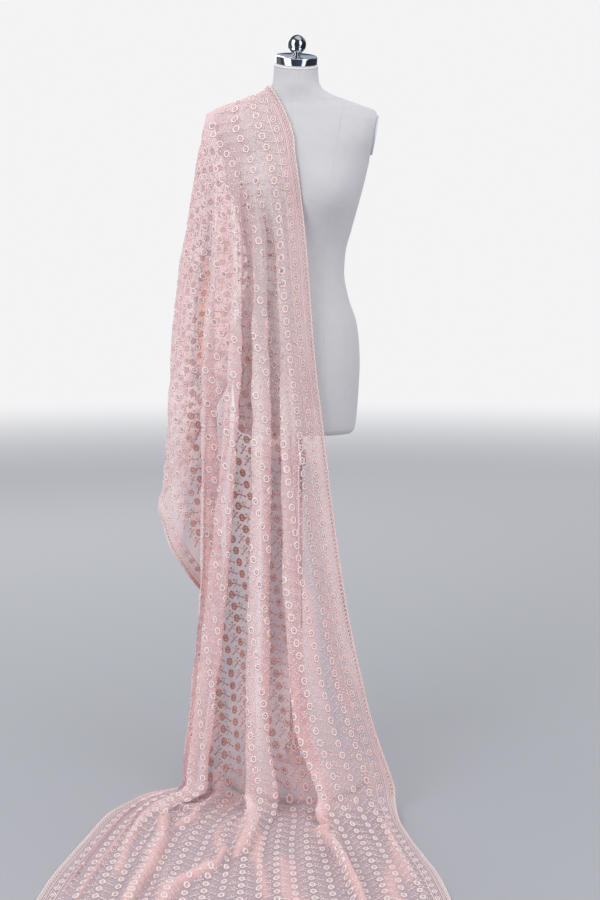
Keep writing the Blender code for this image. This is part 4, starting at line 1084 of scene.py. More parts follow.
def stitched(name, template, spots, material, turns=None, sizes=None):
    """One piece made of a motif worked at many places of the cut. What falls off the cut is left out."""
    shape, faces = template
    count = len(shape)
    spots = np.asarray(spots, float)
    turns = np.zeros(len(spots)) if turns is None else turns
    sizes = np.ones((len(spots), 2)) if sizes is None else sizes
    cosine, sine = np.cos(turns)[:, None], np.sin(turns)[:, None]
    p = shape[None, :, 0] * sizes[:, :1]
    q = shape[None, :, 1] * sizes[:, 1:]
    laid = np.stack([spots[:, :1] + cosine * p - sine * q, spots[:, 1:2] + sine * p + cosine * q,
                     np.broadcast_to(shape[None, :, 2], p.shape)], axis=2)
    place, off, folds = onto_cloth(laid.reshape(-1, 3))
    place = place.reshape(laid.shape)
    spread = np.linalg.norm(place - place.mean(axis=1, keepdims=True), axis=2).max(axis=1)
    plain = np.linalg.norm(laid[..., :2] - laid[..., :2].mean(axis=1, keepdims=True), axis=2).max(axis=1)
    kept = (off.reshape(len(spots), count).max(axis=1) < OFF_CUT) & (spread < PULLED * plain)
    place = place[kept]
    folds = folds.reshape(laid.shape)[kept].mean(axis=1, keepdims=True) + np.zeros((1, count, 1))
    corner_lists = [[corner + i * count for corner in face] for i in range(len(place)) for face in faces]
    return with_folds(mesh_piece(name, place.reshape(-1, 3), corner_lists, material), folds)


def mesh_piece(name, points, faces, material):
    data = bpy.data.meshes.new(name)
    data.from_pydata([tuple(point) for point in np.asarray(points, float).tolist()], [], faces)
    data.materials.append(material)
    data.polygons.foreach_set("use_smooth", np.ones(len(data.polygons), bool))
    data.update()
    piece = bpy.data.objects.new(name, data)
    bpy.context.scene.collection.objects.link(piece)
    return piece


# Embroidery.
SPOT_WEIGHTS = (-0.3, 1.3)     # how far past a face's corners a stitch is still read from it
OFF_CUT = 0.3 * MM             # farthest that a motif may reach over the cut's edge
PULLED = 1.5                   # farthest that the drape may pull a motif apart
SCALLOP = 0.09                 # of a ring's outline, as a share of its size
SCALLOP_LOSS = 0.35            # of that, how much is lost from its outer edge to its inner edge
STROKE_TOP = 1.6 * LIFT
STROKE_TIP = 0.55              # width of a stroke at its two ends, as a share of its own
BORDER_STEP = 0.003
EDGES = ("neck edge", "far edge", "front end", "back end", "back end near", "back end far")
PLAIN_ENDS = ("front end", "back end")  # edges whose border has no ovals and no inner line
EDGE_ROUNDS = {"far edge": 12}
FEW_ROUNDS = 2                 # rounds in which the other edges' lines are evened
LINE_OFF = 1.5 * MM            # farthest that a stitched line may lie off the cut
LINE_STRETCH = (2.5, 0.001)    # how far the drape may stretch it, as a factor and a length


def dot_shape(x, y, radius, start, stretch=1.0, top=2 * LIFT):
    """A small six-sided knot of thread: its points, and its faces numbered from start."""
    turns = [math.radians(60.0 * k) for k in range(6)]
    points = [[x + radius * math.cos(turn), y + radius * stretch * math.sin(turn), FOOT] for turn in turns]
    points.append([x, y, top])
    faces = [(start + k, start + (k + 1) % 6, start + 6) for k in range(6)]
    return points, faces + [tuple(start + k for k in reversed(range(6)))]


def dot_motif(radius, stretch=1.0, top=2 * LIFT):
    points, faces = dot_shape(0.0, 0.0, radius, 0, stretch, top)
    return np.array(points), faces


def ring_motif(half_across, half_along, thick, scallops, segments, dot):
    """A scalloped ring in raised satin stitch round a small dot: points across, along and up, and faces."""
    points = []
    faces = []
    for i in range(segments):
        turn = 2 * math.pi * i / segments
        wave = 1 + SCALLOP * math.cos(scallops * turn)
        for share, lift in ((0.0, FOOT), (0.5, 2 * LIFT), (1.0, FOOT)):
            out = 1 - SCALLOP_LOSS * share
            inset = share * thick
            x = (half_across * (1 + (wave - 1) * out) - inset) * math.sin(turn)
            y = (half_along * (1 + (wave - 1) * out) - inset) * math.cos(turn)
            points.append([x, y, lift])
        a, b = 3 * i, 3 * ((i + 1) % segments)
        faces += [(a + 1, b + 1, b, a), (a + 2, b + 2, b + 1, a + 1), (a, b, b + 2, a + 2)]
    if dot:
        knot, sides = dot_shape(0.0, 0.0, dot, len(points), half_along / half_across)
        points += knot
        faces += sides
    return np.array(points), faces


def left_of(path):
    """The unit vectors to the left of a flat path, at each of its points."""
    way = np.gradient(path, axis=0)
    way /= np.maximum(np.linalg.norm(way, axis=1), 1e-9)[:, None]
    return np.stack([-way[:, 1], way[:, 0]], axis=1)


def ridge_sides(a, b):
    """The three sides of a low ridge between two of its rows of three points."""
    return [(a, b, b + 1, a + 1), (a + 1, b + 1, b + 2, a + 2), (a + 2, b + 2, b, a)]


def stroke_motif(strokes, dots):
    """Fine stitched lines, each a low ridge of its own width through its points, and small dots."""
    points = []
    faces = []
    for width, stroke in strokes:
        path = np.array(stroke, float)
        start = len(points)
        for k, (place, out) in enumerate(zip(path, left_of(path))):
            half = width / 2 * (STROKE_TIP if k in (0, len(path) - 1) else 1.0)
            points += [[*(place - out * half), FOOT], [*place, STROKE_TOP], [*(place + out * half), FOOT]]
        for k in range(len(path) - 1):
            faces += ridge_sides(start + 3 * k, start + 3 * k + 3)
        last = start + 3 * (len(path) - 1)
        faces += [(start, start + 1, start + 2), (last + 2, last + 1, last)]
    for x, y, radius in dots:
        knot, sides = dot_shape(x, y, radius, len(points))
        points += knot
        faces += sides
    return np.array(points), faces


def edge_chain(which):
    """The numbers of the points along one edge of the cut."""
    long, swag, side, tail = draped_cloth()["numbers"]
    low = len(side[0]) - 1 + len(swag) - 1
    far = np.concatenate([side[-1, ::-1], swag[-1, ::-1][1:], long[low:, -1][1:]])
    return dict(zip(EDGES, (long[:, 0], far, long[-1], tail[:, -1], tail[-1, ::-1], tail[0, ::-1])))[which]


def edge_path(which):
    """An edge of the cut as a smooth line of evenly spaced points, the way inward, and its lengths."""
    cloth = draped_cloth()
    path = cloth["cut"][edge_chain(which)]
    apart = np.linalg.norm(np.diff(path, axis=0), axis=1) > 1e-6
    path = path[np.concatenate([[True], apart])]
    reach = chain_length(path)
    count = max(4, int(reach[-1] / BORDER_STEP))
    path = read_along(path, reach, np.linspace(0.0, reach[-1], count + 1))
    for _ in range(EDGE_ROUNDS.get(which, FEW_ROUNDS)):
        path[1:-1] = (path[:-2] + 2 * path[1:-1] + path[2:]) / 4
    inward = left_of(path)
    middle = path[len(path) // 2] + inward[len(path) // 2] * 0.01
    _, _, _, distance = cloth["tree"].find_nearest(Vector((*middle, 0.0)))
    if distance > 1e-4:
        inward = -inward
    return path, inward, chain_length(path)


def border_places(path, inward, reach, at, depth):
    """Places at these lengths along an edge, this depth in from it, and the turn that faces inward there."""
    into = read_along(inward, reach, at)
    into /= np.linalg.norm(into, axis=1)[:, None]
    spots = read_along(path, reach, at) + into * np.reshape(depth, (-1, 1))
    return spots, np.arctan2(into[:, 1], into[:, 0])


def stitched_line(name, paths, width, material, lift=STROKE_TOP):
    """One piece of long low ridges, each through the places given in the cut."""
    points = []
    faces = []
    folds = []
    for path in paths:
        side = left_of(path)
        rows = []
        for out, up in ((-0.5, FOOT), (0.0, lift), (0.5, FOOT)):
            rows.append(np.column_stack([path + side * (out * width), np.full(len(path), up)]))
        place, off, light = onto_cloth(np.stack(rows, axis=1).reshape(-1, 3))
        start = sum(len(block) for block in points)
        points.append(place)
        folds.append(light)
        off = off.reshape(-1, 3).max(axis=1)
        gap = np.linalg.norm(np.diff(place[1::3], axis=0), axis=1)
        flat_gap = np.linalg.norm(np.diff(path, axis=0), axis=1)
        near = (off[:-1] < LINE_OFF) & (off[1:] < LINE_OFF)
        sound = near & (gap < LINE_STRETCH[0] * flat_gap + LINE_STRETCH[1])
        for k in np.nonzero(sound)[0]:
            a, b = start + 3 * int(k), start + 3 * int(k) + 3
            faces += ridge_sides(a, b)
            if k == 0 or not sound[k - 1]:
                faces.append((a, a + 1, a + 2))
            if k == len(sound) - 1 or not sound[k + 1]:
                faces.append((b + 2, b + 1, b))
    return with_folds(mesh_piece(name, np.concatenate(points), faces, material), np.concatenate(folds))


# Seams of the form's cover: x and z of each point on the front, from the neck down.
CENTRE_SEAM = ((0.0012, 1.600), (0.0006, 1.545), (-0.0030, 1.440), (-0.0040, 1.300), (-0.0030, 1.100),
               (-0.0010, 0.815))
PRINCESS_SEAM = ((0.1040, 1.529), (0.1010, 1.515), (0.0900, 1.450), (0.0845, 1.420), (0.0741, 1.345),
                 (0.0657, 1.278), (0.0604, 1.172), (0.0625, 1.064), (0.0660, 0.940), (0.0665, 0.815))
UNDER_BUST_SEAM = ((-0.0030, 1.338), (0.0200, 1.328), (0.0452, 1.313), (0.0730, 1.304), (0.1000, 1.308),
                   (0.1170, 1.316))
NECK_SEAM_HEIGHT = (1.5356, 1.5560)   # of the seam round the neck's foot, in front and at the sides and back
HEM_SEAM_HEIGHT = 0.822
SIDE_SEAM_SPAN = (0.815, 1.415)
SEAM_WIDTH = 1.3 * MM
SEAM_RISE = 0.35 * MM
# The seam's section, as shares of its width and rise: two low ridges with a groove between them.
SEAM_PROFILE = ((-0.5, -0.6), (-0.22, 0.75), (0.0, 0.35), (0.22, 0.75), (0.5, -0.6))


def neck_axis():
    return Vector((math.sin(CAP_ROLL), -math.sin(CAP_TILT), math.cos(CAP_TILT))).normalized()


def neck_stand(reach):
    """The turn and place that stand a piece on the neck's sloping cut, this far above it."""
    turn = Vector((0.0, 0.0, 1.0)).rotation_difference(neck_axis())
    return Matrix.Translation(Vector((0.0, 0.0, NECK_CUT)) + neck_axis() * reach) @ turn.to_matrix().to_4x4()


def arm_normal(side):
    return Vector((side * math.cos(ARM_PLATE_TILT), 0.0, -math.sin(ARM_PLATE_TILT)))


def arm_point(side, back):
    """The middle of an armhole, this far inside the arm plate's face."""
    return Vector((side * ARM_PLATE_AT[0], 0, ARM_PLATE_AT[2])) - arm_normal(side) * back


def lone(piece):
    """Leaves only this object selected, and active."""
    bpy.ops.object.select_all(action="DESELECT")
    piece.select_set(True)
    bpy.context.view_layer.objects.active = piece


def settled(piece, name, material, matrix, smooth_angle):
    """Gives a finished piece its name, finish and place, and leaves its object at the origin."""
    lone(piece)
    if matrix is not None:
        piece.matrix_world = matrix @ piece.matrix_world
    bpy.ops.object.transform_apply(location=True, rotation=True, scale=True)
    piece.name = name
    piece.data.name = name
    piece.data.materials.clear()
    piece.data.materials.append(material)
    bpy.ops.object.shade_smooth_by_angle(angle=math.radians(smooth_angle))
    return piece


def bevel_rims(piece, width, segments=3):
    """Rounds the sharp rims of a turned piece."""
    lone(piece)
    rims = piece.modifiers.new("Rounded rims", "BEVEL")
    rims.width = width
    rims.segments = segments
    rims.limit_method = "ANGLE"
    rims.angle_limit = math.radians(60.0)
    bpy.ops.object.modifier_apply(modifier=rims.name)


def drum(radius, height, vertices=96, base=0.0):
    """A plain cylinder that stands on this height."""
    bpy.ops.object.select_all(action="DESELECT")
    middle = (0, 0, base + height / 2)
    bpy.ops.mesh.primitive_cylinder_add(vertices=vertices, radius=radius, depth=height, location=middle)
    bpy.ops.object.transform_apply(location=True, rotation=False, scale=False)
    return bpy.context.active_object


def picked(piece, wanted):
    """Opens a piece for editing, with only those of its faces selected that are wanted."""
    lone(piece)
    bpy.ops.object.mode_set(mode="EDIT")
    bpy.ops.mesh.select_mode(type="FACE")
    bpy.ops.mesh.select_all(action="DESELECT")
    bpy.ops.object.mode_set(mode="OBJECT")
    for face in piece.data.polygons:
        face.select = wanted(face)
    bpy.ops.object.mode_set(mode="EDIT")


def tube(inner, outer, low, high):
    """A drum with a hole through it: its caps are inset and the inset faces bridged."""
    piece = drum(outer, high - low, 72, low)
    picked(piece, lambda face: abs(face.normal.z) > 0.9)
    bpy.ops.mesh.inset(thickness=outer - inner, use_individual=True)
    bpy.ops.mesh.bridge_edge_loops()
    bpy.ops.object.mode_set(mode="OBJECT")
    return piece


def turned_profile(profile, steps=96):
    """A solid turned about Z from radii and heights listed from its top to its bottom."""
    bpy.ops.object.select_all(action="DESELECT")
    bpy.ops.mesh.primitive_circle_add(vertices=len(profile), radius=1.0)
    piece = bpy.context.active_object
    for vert, (radius, height) in zip(piece.data.vertices, profile):
        vert.co = (radius, 0.0, height)
    screw = piece.modifiers.new("Turned", "SCREW")
    screw.axis = "Z"
    screw.angle = 2 * math.pi
    screw.steps = steps
    screw.render_steps = steps
    screw.use_merge_vertices = True
    screw.merge_threshold = 1e-5
    bpy.ops.object.modifier_apply(modifier=screw.name)
    bpy.ops.object.mode_set(mode="EDIT")
    bpy.ops.mesh.select_all(action="SELECT")
    bpy.ops.mesh.normals_make_consistent(inside=False)
    bpy.ops.object.mode_set(mode="OBJECT")
    return piece


def joined(pieces):
    lone(pieces[0])
    for piece in pieces[1:]:
        piece.select_set(True)
    bpy.ops.object.join()
    return bpy.context.active_object


def cut_plane(piece, place, normal, above):
    """Cuts away what lies beyond a plane, in the stretch above this height, and closes the cut."""
    picked(piece, lambda face: face.center.z > above)
    bpy.ops.mesh.bisect(plane_co=place, plane_no=normal, use_fill=True, clear_outer=True)
    bpy.ops.object.mode_set(mode="OBJECT")


# Finishes: colours, and for plain and metal ones their roughness, smudges and share of metal.
WHITE = (1.0, 1.0, 1.0)
PLATE_WHITE = ((0.66, 0.68, 0.74), 0.45)
LIP_WHITE = ((0.86, 0.86, 0.88), 0.45)
KNOB_BLACK = ((0.02, 0.02, 0.02), 0.4)
CAP_CHROME = ((0.90, 0.91, 0.93), 0.07, 0.02)
BALL_CHROME = ((0.60, 0.60, 0.63), 0.06, 0.02)
BASE_PALE = ((0.40, 0.41, 0.44), 0.60, 0.08, 0.0)
SLEEVE_STEEL = ((0.62, 0.63, 0.65), 0.22)
POLE_STEEL = ((0.64, 0.65, 0.67), 0.16)
HALF_SHADE = (0.96, 0.89, 0.87)     # painted half shade of the net where a fold starts to turn away, as a share of its flat colour
# The flower eye's thread, painted lighter than the rings' to offset the shade they cast on it, then its
# painted shade in a valley and its painted highlight on a crest.
EYE_TONES = ((1.0, 0.76, 0.77), (0.78, 0.56, 0.56), (1.0, 0.87, 0.87))
CHAIN_EYE_SHADE = 0.66               # painted shade: how much darker the knot in each chain loop is, for the shade in the loop's hole
HOLE_CLEAR = 0.14              # how much less of the light a hole stops than the net as a whole
THREAD_COVER = 0.20            # and how much more a thread does
EDGE_ON = 3.0                  # layers that the net seen edge-on adds, and the power with which it does
GATHERED = 2.2                 # layers that a closely gathered net adds
SHADE_CAST = 0.35              # of what the net stops, the share that it also keeps from what is behind it


def node_tree(name):
    material = bpy.data.materials.new(name)
    material.use_nodes = True
    tree = material.node_tree
    return material, tree, tree.nodes["Principled BSDF"]


def feed(tree, node, inputs):
    """Gives a node its inputs, as values or as other nodes' outputs."""
    for socket, value in dict(inputs).items():
        if isinstance(value, bpy.types.NodeSocket):
            tree.links.new(value, node.inputs[socket])
        else:
            node.inputs[socket].default_value = value
    return node


def linked(tree, kind, inputs=(), **settings):
    """A new node of this kind, with its settings and its inputs."""
    node = tree.nodes.new(kind)
    for setting, value in settings.items():
        setattr(node, setting, value)
    return feed(tree, node, inputs)


def coordinates(tree, kind="Object"):
    return linked(tree, "ShaderNodeTexCoord").outputs[kind]


def maths(tree, operation, *values, **settings):
    return linked(tree, "ShaderNodeMath", enumerate(values), operation=operation, **settings).outputs[0]


def ranged(tree, value, low, high, to_low=0.0, to_high=1.0, **settings):
    """A value carried from one range to another."""
    inputs = {"Value": value, "From Min": low, "From Max": high, "To Min": to_low, "To Max": to_high}
    return linked(tree, "ShaderNodeMapRange", inputs, **settings).outputs[0]


def mixed(tree, factor, first, second, **settings):
    """Two colours mixed. Each is given as red, green and blue or as another node's output."""
    inputs = {"Factor": factor, "A": first, "B": second}
    for socket in ("A", "B"):
        if not isinstance(inputs[socket], bpy.types.NodeSocket):
            inputs[socket] = (*inputs[socket], 1.0)
    return linked(tree, "ShaderNodeMix", inputs, data_type="RGBA", **settings).outputs["Result"]


def multiplied(tree, tone, mask, low):
    """A tone made darker by this colour where the mask is low."""
    return mixed(tree, 1.0, tone, mixed(tree, mask, low, WHITE), blend_type="MULTIPLY")


def unevenness(tree, place, scale, detail):
    inputs = {"Vector": place, "Scale": scale, "Detail": detail}
    return linked(tree, "ShaderNodeTexNoise", inputs).outputs["Fac"]


def relief(tree, height, strength, distance):
    inputs = {"Height": height, "Strength": strength, "Distance": distance}
    return linked(tree, "ShaderNodeBump", inputs).outputs[0]


def blended(tree, share, first, second):
    """Two shaders mixed by this share."""
    return linked(tree, "ShaderNodeMixShader", {0: share, 1: first, 2: second}).outputs[0]


def shade_group(name, outputs, density=()):
    """A group that makes plain values from coordinates, with an input for how dense its threads are."""
    group = bpy.data.node_groups.new(name, "ShaderNodeTree")
    group.interface.new_socket(name="Vector", in_out="INPUT", socket_type="NodeSocketVector")
    if density:
        socket = group.interface.new_socket(name=density[0], in_out="INPUT", socket_type="NodeSocketFloat")
        socket.default_value = density[1]
    for label in outputs:
        group.interface.new_socket(name=label, in_out="OUTPUT", socket_type="NodeSocketFloat")
    return group, group.nodes.new("NodeGroupInput").outputs, group.nodes.new("NodeGroupOutput")


def weave_group():
    """A plain weave: crossed threads on two axes of the coordinates it is given."""
    group, start, end = shade_group("Plain weave", ("Height", "Shade"), ("Threads per metre", 900.0))
    apart = linked(group, "ShaderNodeSeparateXYZ", {0: start[0]})
    threads = []
    for axis in ("X", "Z"):
        turns = maths(group, "MULTIPLY", apart.outputs[axis], start[1])
        threads.append(maths(group, "SINE", maths(group, "MULTIPLY", turns, 2 * math.pi)))
    height = maths(group, "MULTIPLY_ADD", maths(group, "MULTIPLY", *threads), 0.5, 0.5)
    feed(group, end, {0: height, 1: unevenness(group, start[0], 60.0, 4.0)})
    return group


def net_group():
    """The mesh of the net: fine crossed threads with open holes between them, read from the cloth's cut."""
    group, start, end = shade_group("Net mesh", ("Threads", "Height"), ("Holes per metre", 700.0))
    scaled = linked(group, "ShaderNodeVectorMath", {0: start[0], "Scale": start[1]}, operation="SCALE")
    inputs = {"Vector": scaled.outputs[0], "Scale": 1.0, "Randomness": 0.35}
    cells = linked(group, "ShaderNodeTexVoronoi", inputs, feature="DISTANCE_TO_EDGE", voronoi_dimensions="2D")
    threads = ranged(group, cells.outputs["Distance"], 0.05, 0.28, 1.0, 0.0)
    feed(group, end, {0: threads, 1: threads})
    return group


def stitch_group():
    """Fine parallel stitches of a satin thread."""
    group, start, end = shade_group("Satin stitches", ("Height", "Shade"))
    inputs = {"Vector": start[0], "Scale": 280.0, "Distortion": 3.0, "Detail": 1.0}
    waves = linked(group, "ShaderNodeTexWave", inputs, bands_direction="DIAGONAL")
    feed(group, end, {0: waves.outputs["Fac"], 1: unevenness(group, start[0], 220.0, 2.0)})
    return group


def grouped(tree, maker, place):
    """One of the groups above, made once, and read at these coordinates."""
    if maker.__name__ not in WORK:
        WORK[maker.__name__] = maker()
    return linked(tree, "ShaderNodeGroup", {0: place}, node_tree=WORK[maker.__name__])


def toned(colour, shift):
    return tuple(min(1.0, max(0.0, value * shift)) for value in colour)


def cover_finish(colour):
    """The cover of the form, a tight matt weave."""
    material, tree, shader = node_tree("form_cover_weave")
    weave = grouped(tree, weave_group, coordinates(tree))
    feed(tree, shader, {
        "Base Color": mixed(tree, weave.outputs["Shade"], toned(colour, 0.95), toned(colour, 1.04)),
        "Normal": relief(tree, weave.outputs["Height"], 0.25, 0.4 * MM),
        "Roughness": 0.85,
        "Sheen Weight": 0.15,
        "Specular IOR Level": 0.3,
    })
    return material


def fold_nodes(tree, column):
    """One column of the painted fold light, from 0 for painted shade in a valley to 1 for a painted highlight
    on a crest, and how closely the net is gathered.
    """
    folds = linked(tree, "ShaderNodeAttribute", attribute_name="folds")
    apart = linked(tree, "ShaderNodeSeparateXYZ", {0: folds.outputs["Vector"]})
    return maths(tree, "MULTIPLY_ADD", apart.outputs[column], 0.5, 0.5), apart.outputs[1]


def ramp_of(tree, value, stops):
    ramp = linked(tree, "ShaderNodeValToRGB", {"Fac": value})
    elements = ramp.color_ramp.elements
    while len(elements) < len(stops):
        elements.new(0.5)
    for element, (position, colour) in zip(elements, stops):
        element.position = position
        element.color = (*colour, 1.0)
    return ramp.outputs[0]


def net_finish(look):
    """Sheer net: its holes let the light through, and it covers more where it is gathered or seen edge-on."""
    material, tree, shader = node_tree("dupatta_net")
    mesh = grouped(tree, net_group, coordinates(tree, "UV"))
    light, gather = fold_nodes(tree, 0)
    # The net's colour is painted light and shade: the painted fold light runs it from the painted shade of a
    # valley, through a half shade and its flat colour, to a painted highlight on a crest.
    half_shade = [value * share for value, share in zip(look.net, HALF_SHADE)]
    tone = ramp_of(tree, light, (
        (0.08, look.net_valley_shade), (0.18, look.net_shade), (0.3, look.net_shade), (0.42, half_shade),
        (0.5, look.net), (1.0, look.net_crest_highlight),
    ))
    bare = 1.0 - look.cover
    open_share = ranged(tree, mesh.outputs["Threads"], 0.0, 1.0, bare + HOLE_CLEAR, bare - THREAD_COVER)
    facing = linked(tree, "ShaderNodeLayerWeight", {"Blend": 0.5})
    steep = maths(tree, "POWER", facing.outputs["Facing"], EDGE_ON)
    layers = maths(tree, "MULTIPLY_ADD", steep, EDGE_ON, 1.0)
    layers = maths(tree, "MULTIPLY_ADD", gather, GATHERED, layers)
    alpha = maths(tree, "SUBTRACT", 1.0, maths(tree, "POWER", open_share, layers), use_clamp=True)
    path = linked(tree, "ShaderNodeLightPath")
    cast = ranged(tree, path.outputs["Is Shadow Ray"], 0.0, 1.0, 1.0, SHADE_CAST)
    feed(tree, shader, {
        "Base Color": multiplied(tree, tone, mesh.outputs["Threads"], (0.93, 0.92, 0.92)),
        "Alpha": maths(tree, "MULTIPLY", alpha, cast),
        "Normal": relief(tree, mesh.outputs["Height"], 0.2, 0.3 * MM),
        "Roughness": 0.7,
        "Sheen Weight": 0.35,
        "Sheen Roughness": 0.4,
        "Sheen Tint": (1.0, 0.90, 0.90, 1.0),
    })
    return material


def thread_finish(name, colour, valley, crest):
    """Satin thread, with painted shade deep in the valleys of the folds and a painted highlight on their
    crests.
    """
    material, tree, shader = node_tree(name)
    stitches = grouped(tree, stitch_group, coordinates(tree))
    light, _ = fold_nodes(tree, 2)
    # Painted shade and highlight: the fold light picks the thread's colour from its painted shade in a
    # valley, through a half-shaded mix, to its painted highlight on a crest.
    half_shaded = [(a + 1.5 * b) / 2.5 for a, b in zip(valley, colour)]
    tone = ramp_of(tree, light, ((0.0, valley), (0.2, half_shaded), (0.42, colour), (0.85, crest)))
    feed(tree, shader, {
        "Base Color": multiplied(tree, tone, stitches.outputs["Shade"], (0.90, 0.90, 0.90)),
        "Normal": relief(tree, stitches.outputs["Height"], 0.4, 0.2 * MM),
        "Roughness": 0.5,
        "Sheen Weight": 0.3,
        "Sheen Tint": (1.0, 0.93, 0.92, 1.0),
    })
    return material


def metal_finish(name, colour, roughness, smudge=0.06, metallic=1.0):
    """Polished or painted metal with faint smudges."""
    material, tree, shader = node_tree(name)
    uneven = unevenness(tree, coordinates(tree), 45.0, 5.0)
    feed(tree, shader, {
        "Base Color": mixed(tree, uneven, toned(colour, 0.96), toned(colour, 1.03)),
        "Roughness": ranged(tree, uneven, 0.0, 1.0, max(0.02, roughness - smudge), roughness + smudge),
        "Metallic": metallic,
    })
    return material


def plain_finish(name, colour, roughness):
    """A plain matt finish with a faint grain."""
    material, tree, shader = node_tree(name)
    uneven = unevenness(tree, coordinates(tree), 120.0, 4.0)
    feed(tree, shader, {
        "Base Color": mixed(tree, uneven, toned(colour, 0.96), toned(colour, 1.03)),
        "Normal": relief(tree, uneven, 0.15, 0.5 * MM),
        "Roughness": roughness,
    })
    return material


def standing(piece, slot, *nodes):
    """Finishes a piece: it rides on the part's body and stands for these solids."""
    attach(piece, "root")
    if nodes:
        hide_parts(*nodes)
    return piece


def solid_piece(piece, name, node, finish, matrix=None, smooth_angle=35.0):
    """Settles and finishes a piece that stands for one solid."""
    standing(settled(piece, name, finish, matrix, smooth_angle), node, node)


def skin_point(angle, z, lift=0.0):
    radius = float(torso_radius(np.array(angle), np.array(z))) + lift
    return (radius * math.sin(angle), -radius * math.cos(angle), z)


def seam_angle(x, z, back=False):
    """The angle round the torso at which the skin has this x, in front or behind."""
    angles = np.linspace(0.0, math.pi / 2, 400)
    turned = math.pi - angles if back else angles
    reach = torso_radius(turned, np.full(len(angles), z)) * np.sin(turned)
    crest = int(np.argmax(reach))
    found = float(np.interp(abs(x), reach[: crest + 1], turned[: crest + 1]))
    return math.copysign(found, x) if x else found


def seam_ridge(path):
    """A low ridge of stitched cloth that runs along the torso through these angles and heights."""
    places = np.array([skin_point(angle, z) for angle, z in path])
    normal = np.array([skin_point(angle, z, 0.01) for angle, z in path]) - places
    normal /= np.linalg.norm(normal, axis=1)[:, None]
    side = np.cross(np.gradient(places, axis=0), normal)
    side /= np.linalg.norm(side, axis=1)[:, None]
    rows = [places + side * (out * SEAM_WIDTH) + normal * (up * SEAM_RISE) for out, up in SEAM_PROFILE]
    wide = len(rows)
    faces = []
    for a in range(0, wide * (len(places) - 1), wide):
        b = a + wide
        faces += [(a + j, b + j, b + j + 1, a + j + 1) for j in range(wide - 1)]
        faces.append((a + wide - 1, b + wide - 1, b, a))
    faces += [tuple(range(wide)), tuple(reversed(range(wide * (len(places) - 1), wide * len(places))))]
    return np.stack(rows, axis=1).reshape(-1, 3), faces


def seam_line(points, steps, mirror, back):
    """The angles and heights of a seam given by x and z."""
    smooth = spline([(x, 0.0, z) for x, z in points], steps)
    return [(seam_angle(mirror * x, z, back), z) for x, _, z in smooth]


def form_seams(material):
    """All seams of the form's cover as one piece."""
    seams = [seam_line(CENTRE_SEAM, 12, 1, False), seam_line(CENTRE_SEAM, 12, 1, True)]
    for side in (1, -1):
        for back in (False, True):
            seams.append(seam_line(PRINCESS_SEAM, 8, side, back))
        seams.append(seam_line(UNDER_BUST_SEAM, 8, side, False))
        seams.append([(side * math.pi / 2, z) for z in np.linspace(*SIDE_SEAM_SPAN, 60)])
    angles = np.linspace(-math.pi, math.pi, 120)
    in_front, behind = NECK_SEAM_HEIGHT
    seams.append([(a, behind + (in_front - behind) * f) for a, f in zip(angles, (1 + np.cos(angles)) / 2)])
    seams.append([(a, HEM_SEAM_HEIGHT) for a in angles])
    points = []
    faces = []
    for path in seams:
        fresh, corners = seam_ridge(path)
        start = sum(len(block) for block in points)
        points.append(fresh)
        faces += [[corner + start for corner in face] for face in corners]
    return mesh_piece("form_seams", np.concatenate(points), faces, material)


class FormLook(bpy.types.PropertyGroup):
    cover: bpy.props.FloatVectorProperty(
        name="Cover", description="Colour of the form's woven cover", size=3, subtype="COLOR",
        min=0.0, max=1.0, default=(0.565, 0.563, 0.585))
    columns: bpy.props.IntProperty(
        name="Columns", description="Points round the torso", default=120, min=24, max=400)


class ClothLook(bpy.types.PropertyGroup):
    net: bpy.props.FloatVectorProperty(
        name="Net", description="Colour of the net", size=3, subtype="COLOR", min=0.0, max=1.0,
        default=(0.94, 0.63, 0.64))
    # Painted shade of the net on a fold's far side.
    net_shade: bpy.props.FloatVectorProperty(
        name="Net in shade", description="Colour of the net on a fold's far side", size=3, subtype="COLOR",
        min=0.0, max=1.0, default=(0.61, 0.43, 0.48))
    # Painted shade of the net deep in a fold, with a painted warm glow of light passed through its layers.
    net_valley_shade: bpy.props.FloatVectorProperty(
        name="Net in a valley", description="Colour of the net deep in a fold", size=3, subtype="COLOR",
        min=0.0, max=1.0, default=(0.88, 0.38, 0.32))
    # Painted highlight of the net on a fold's crest.
    net_crest_highlight: bpy.props.FloatVectorProperty(
        name="Net on a crest", description="Colour of the net on a fold", size=3, subtype="COLOR",
        min=0.0, max=1.0, default=(1.0, 0.83, 0.83))
    thread: bpy.props.FloatVectorProperty(
        name="Thread", description="Colour of the embroidery thread", size=3, subtype="COLOR",
        min=0.0, max=1.0, default=(0.98, 0.71, 0.69))
    # Painted shade of the thread deep in a fold.
    thread_valley_shade: bpy.props.FloatVectorProperty(
        name="Thread in a valley", description="Colour of the thread deep in a fold", size=3, subtype="COLOR",
        min=0.0, max=1.0, default=(0.64, 0.25, 0.19))
    # Painted highlight of the thread on a fold's crest.
    thread_crest_highlight: bpy.props.FloatVectorProperty(
        name="Thread on a crest", description="Colour of the thread on a fold", size=3, subtype="COLOR",
        min=0.0, max=1.0, default=(1.0, 0.88, 0.87))
    cover: bpy.props.FloatProperty(
        name="Cover", description="Share of the light that one layer of net stops", subtype="FACTOR",
        default=0.35, min=0.05, max=1.0)
    column_pitch: bpy.props.FloatProperty(
        name="Column pitch", description="Distance between columns of flowers", unit="LENGTH",
        default=0.035, min=0.01, max=0.2)
    flower_pitch: bpy.props.FloatProperty(
        name="Flower pitch", description="Distance between flowers down a column", unit="LENGTH",
        default=0.0275, min=0.01, max=0.2)
    border: bpy.props.FloatProperty(
        name="Border", description="Width of the embroidered border", unit="LENGTH",
        default=0.036, min=0.01, max=0.2)


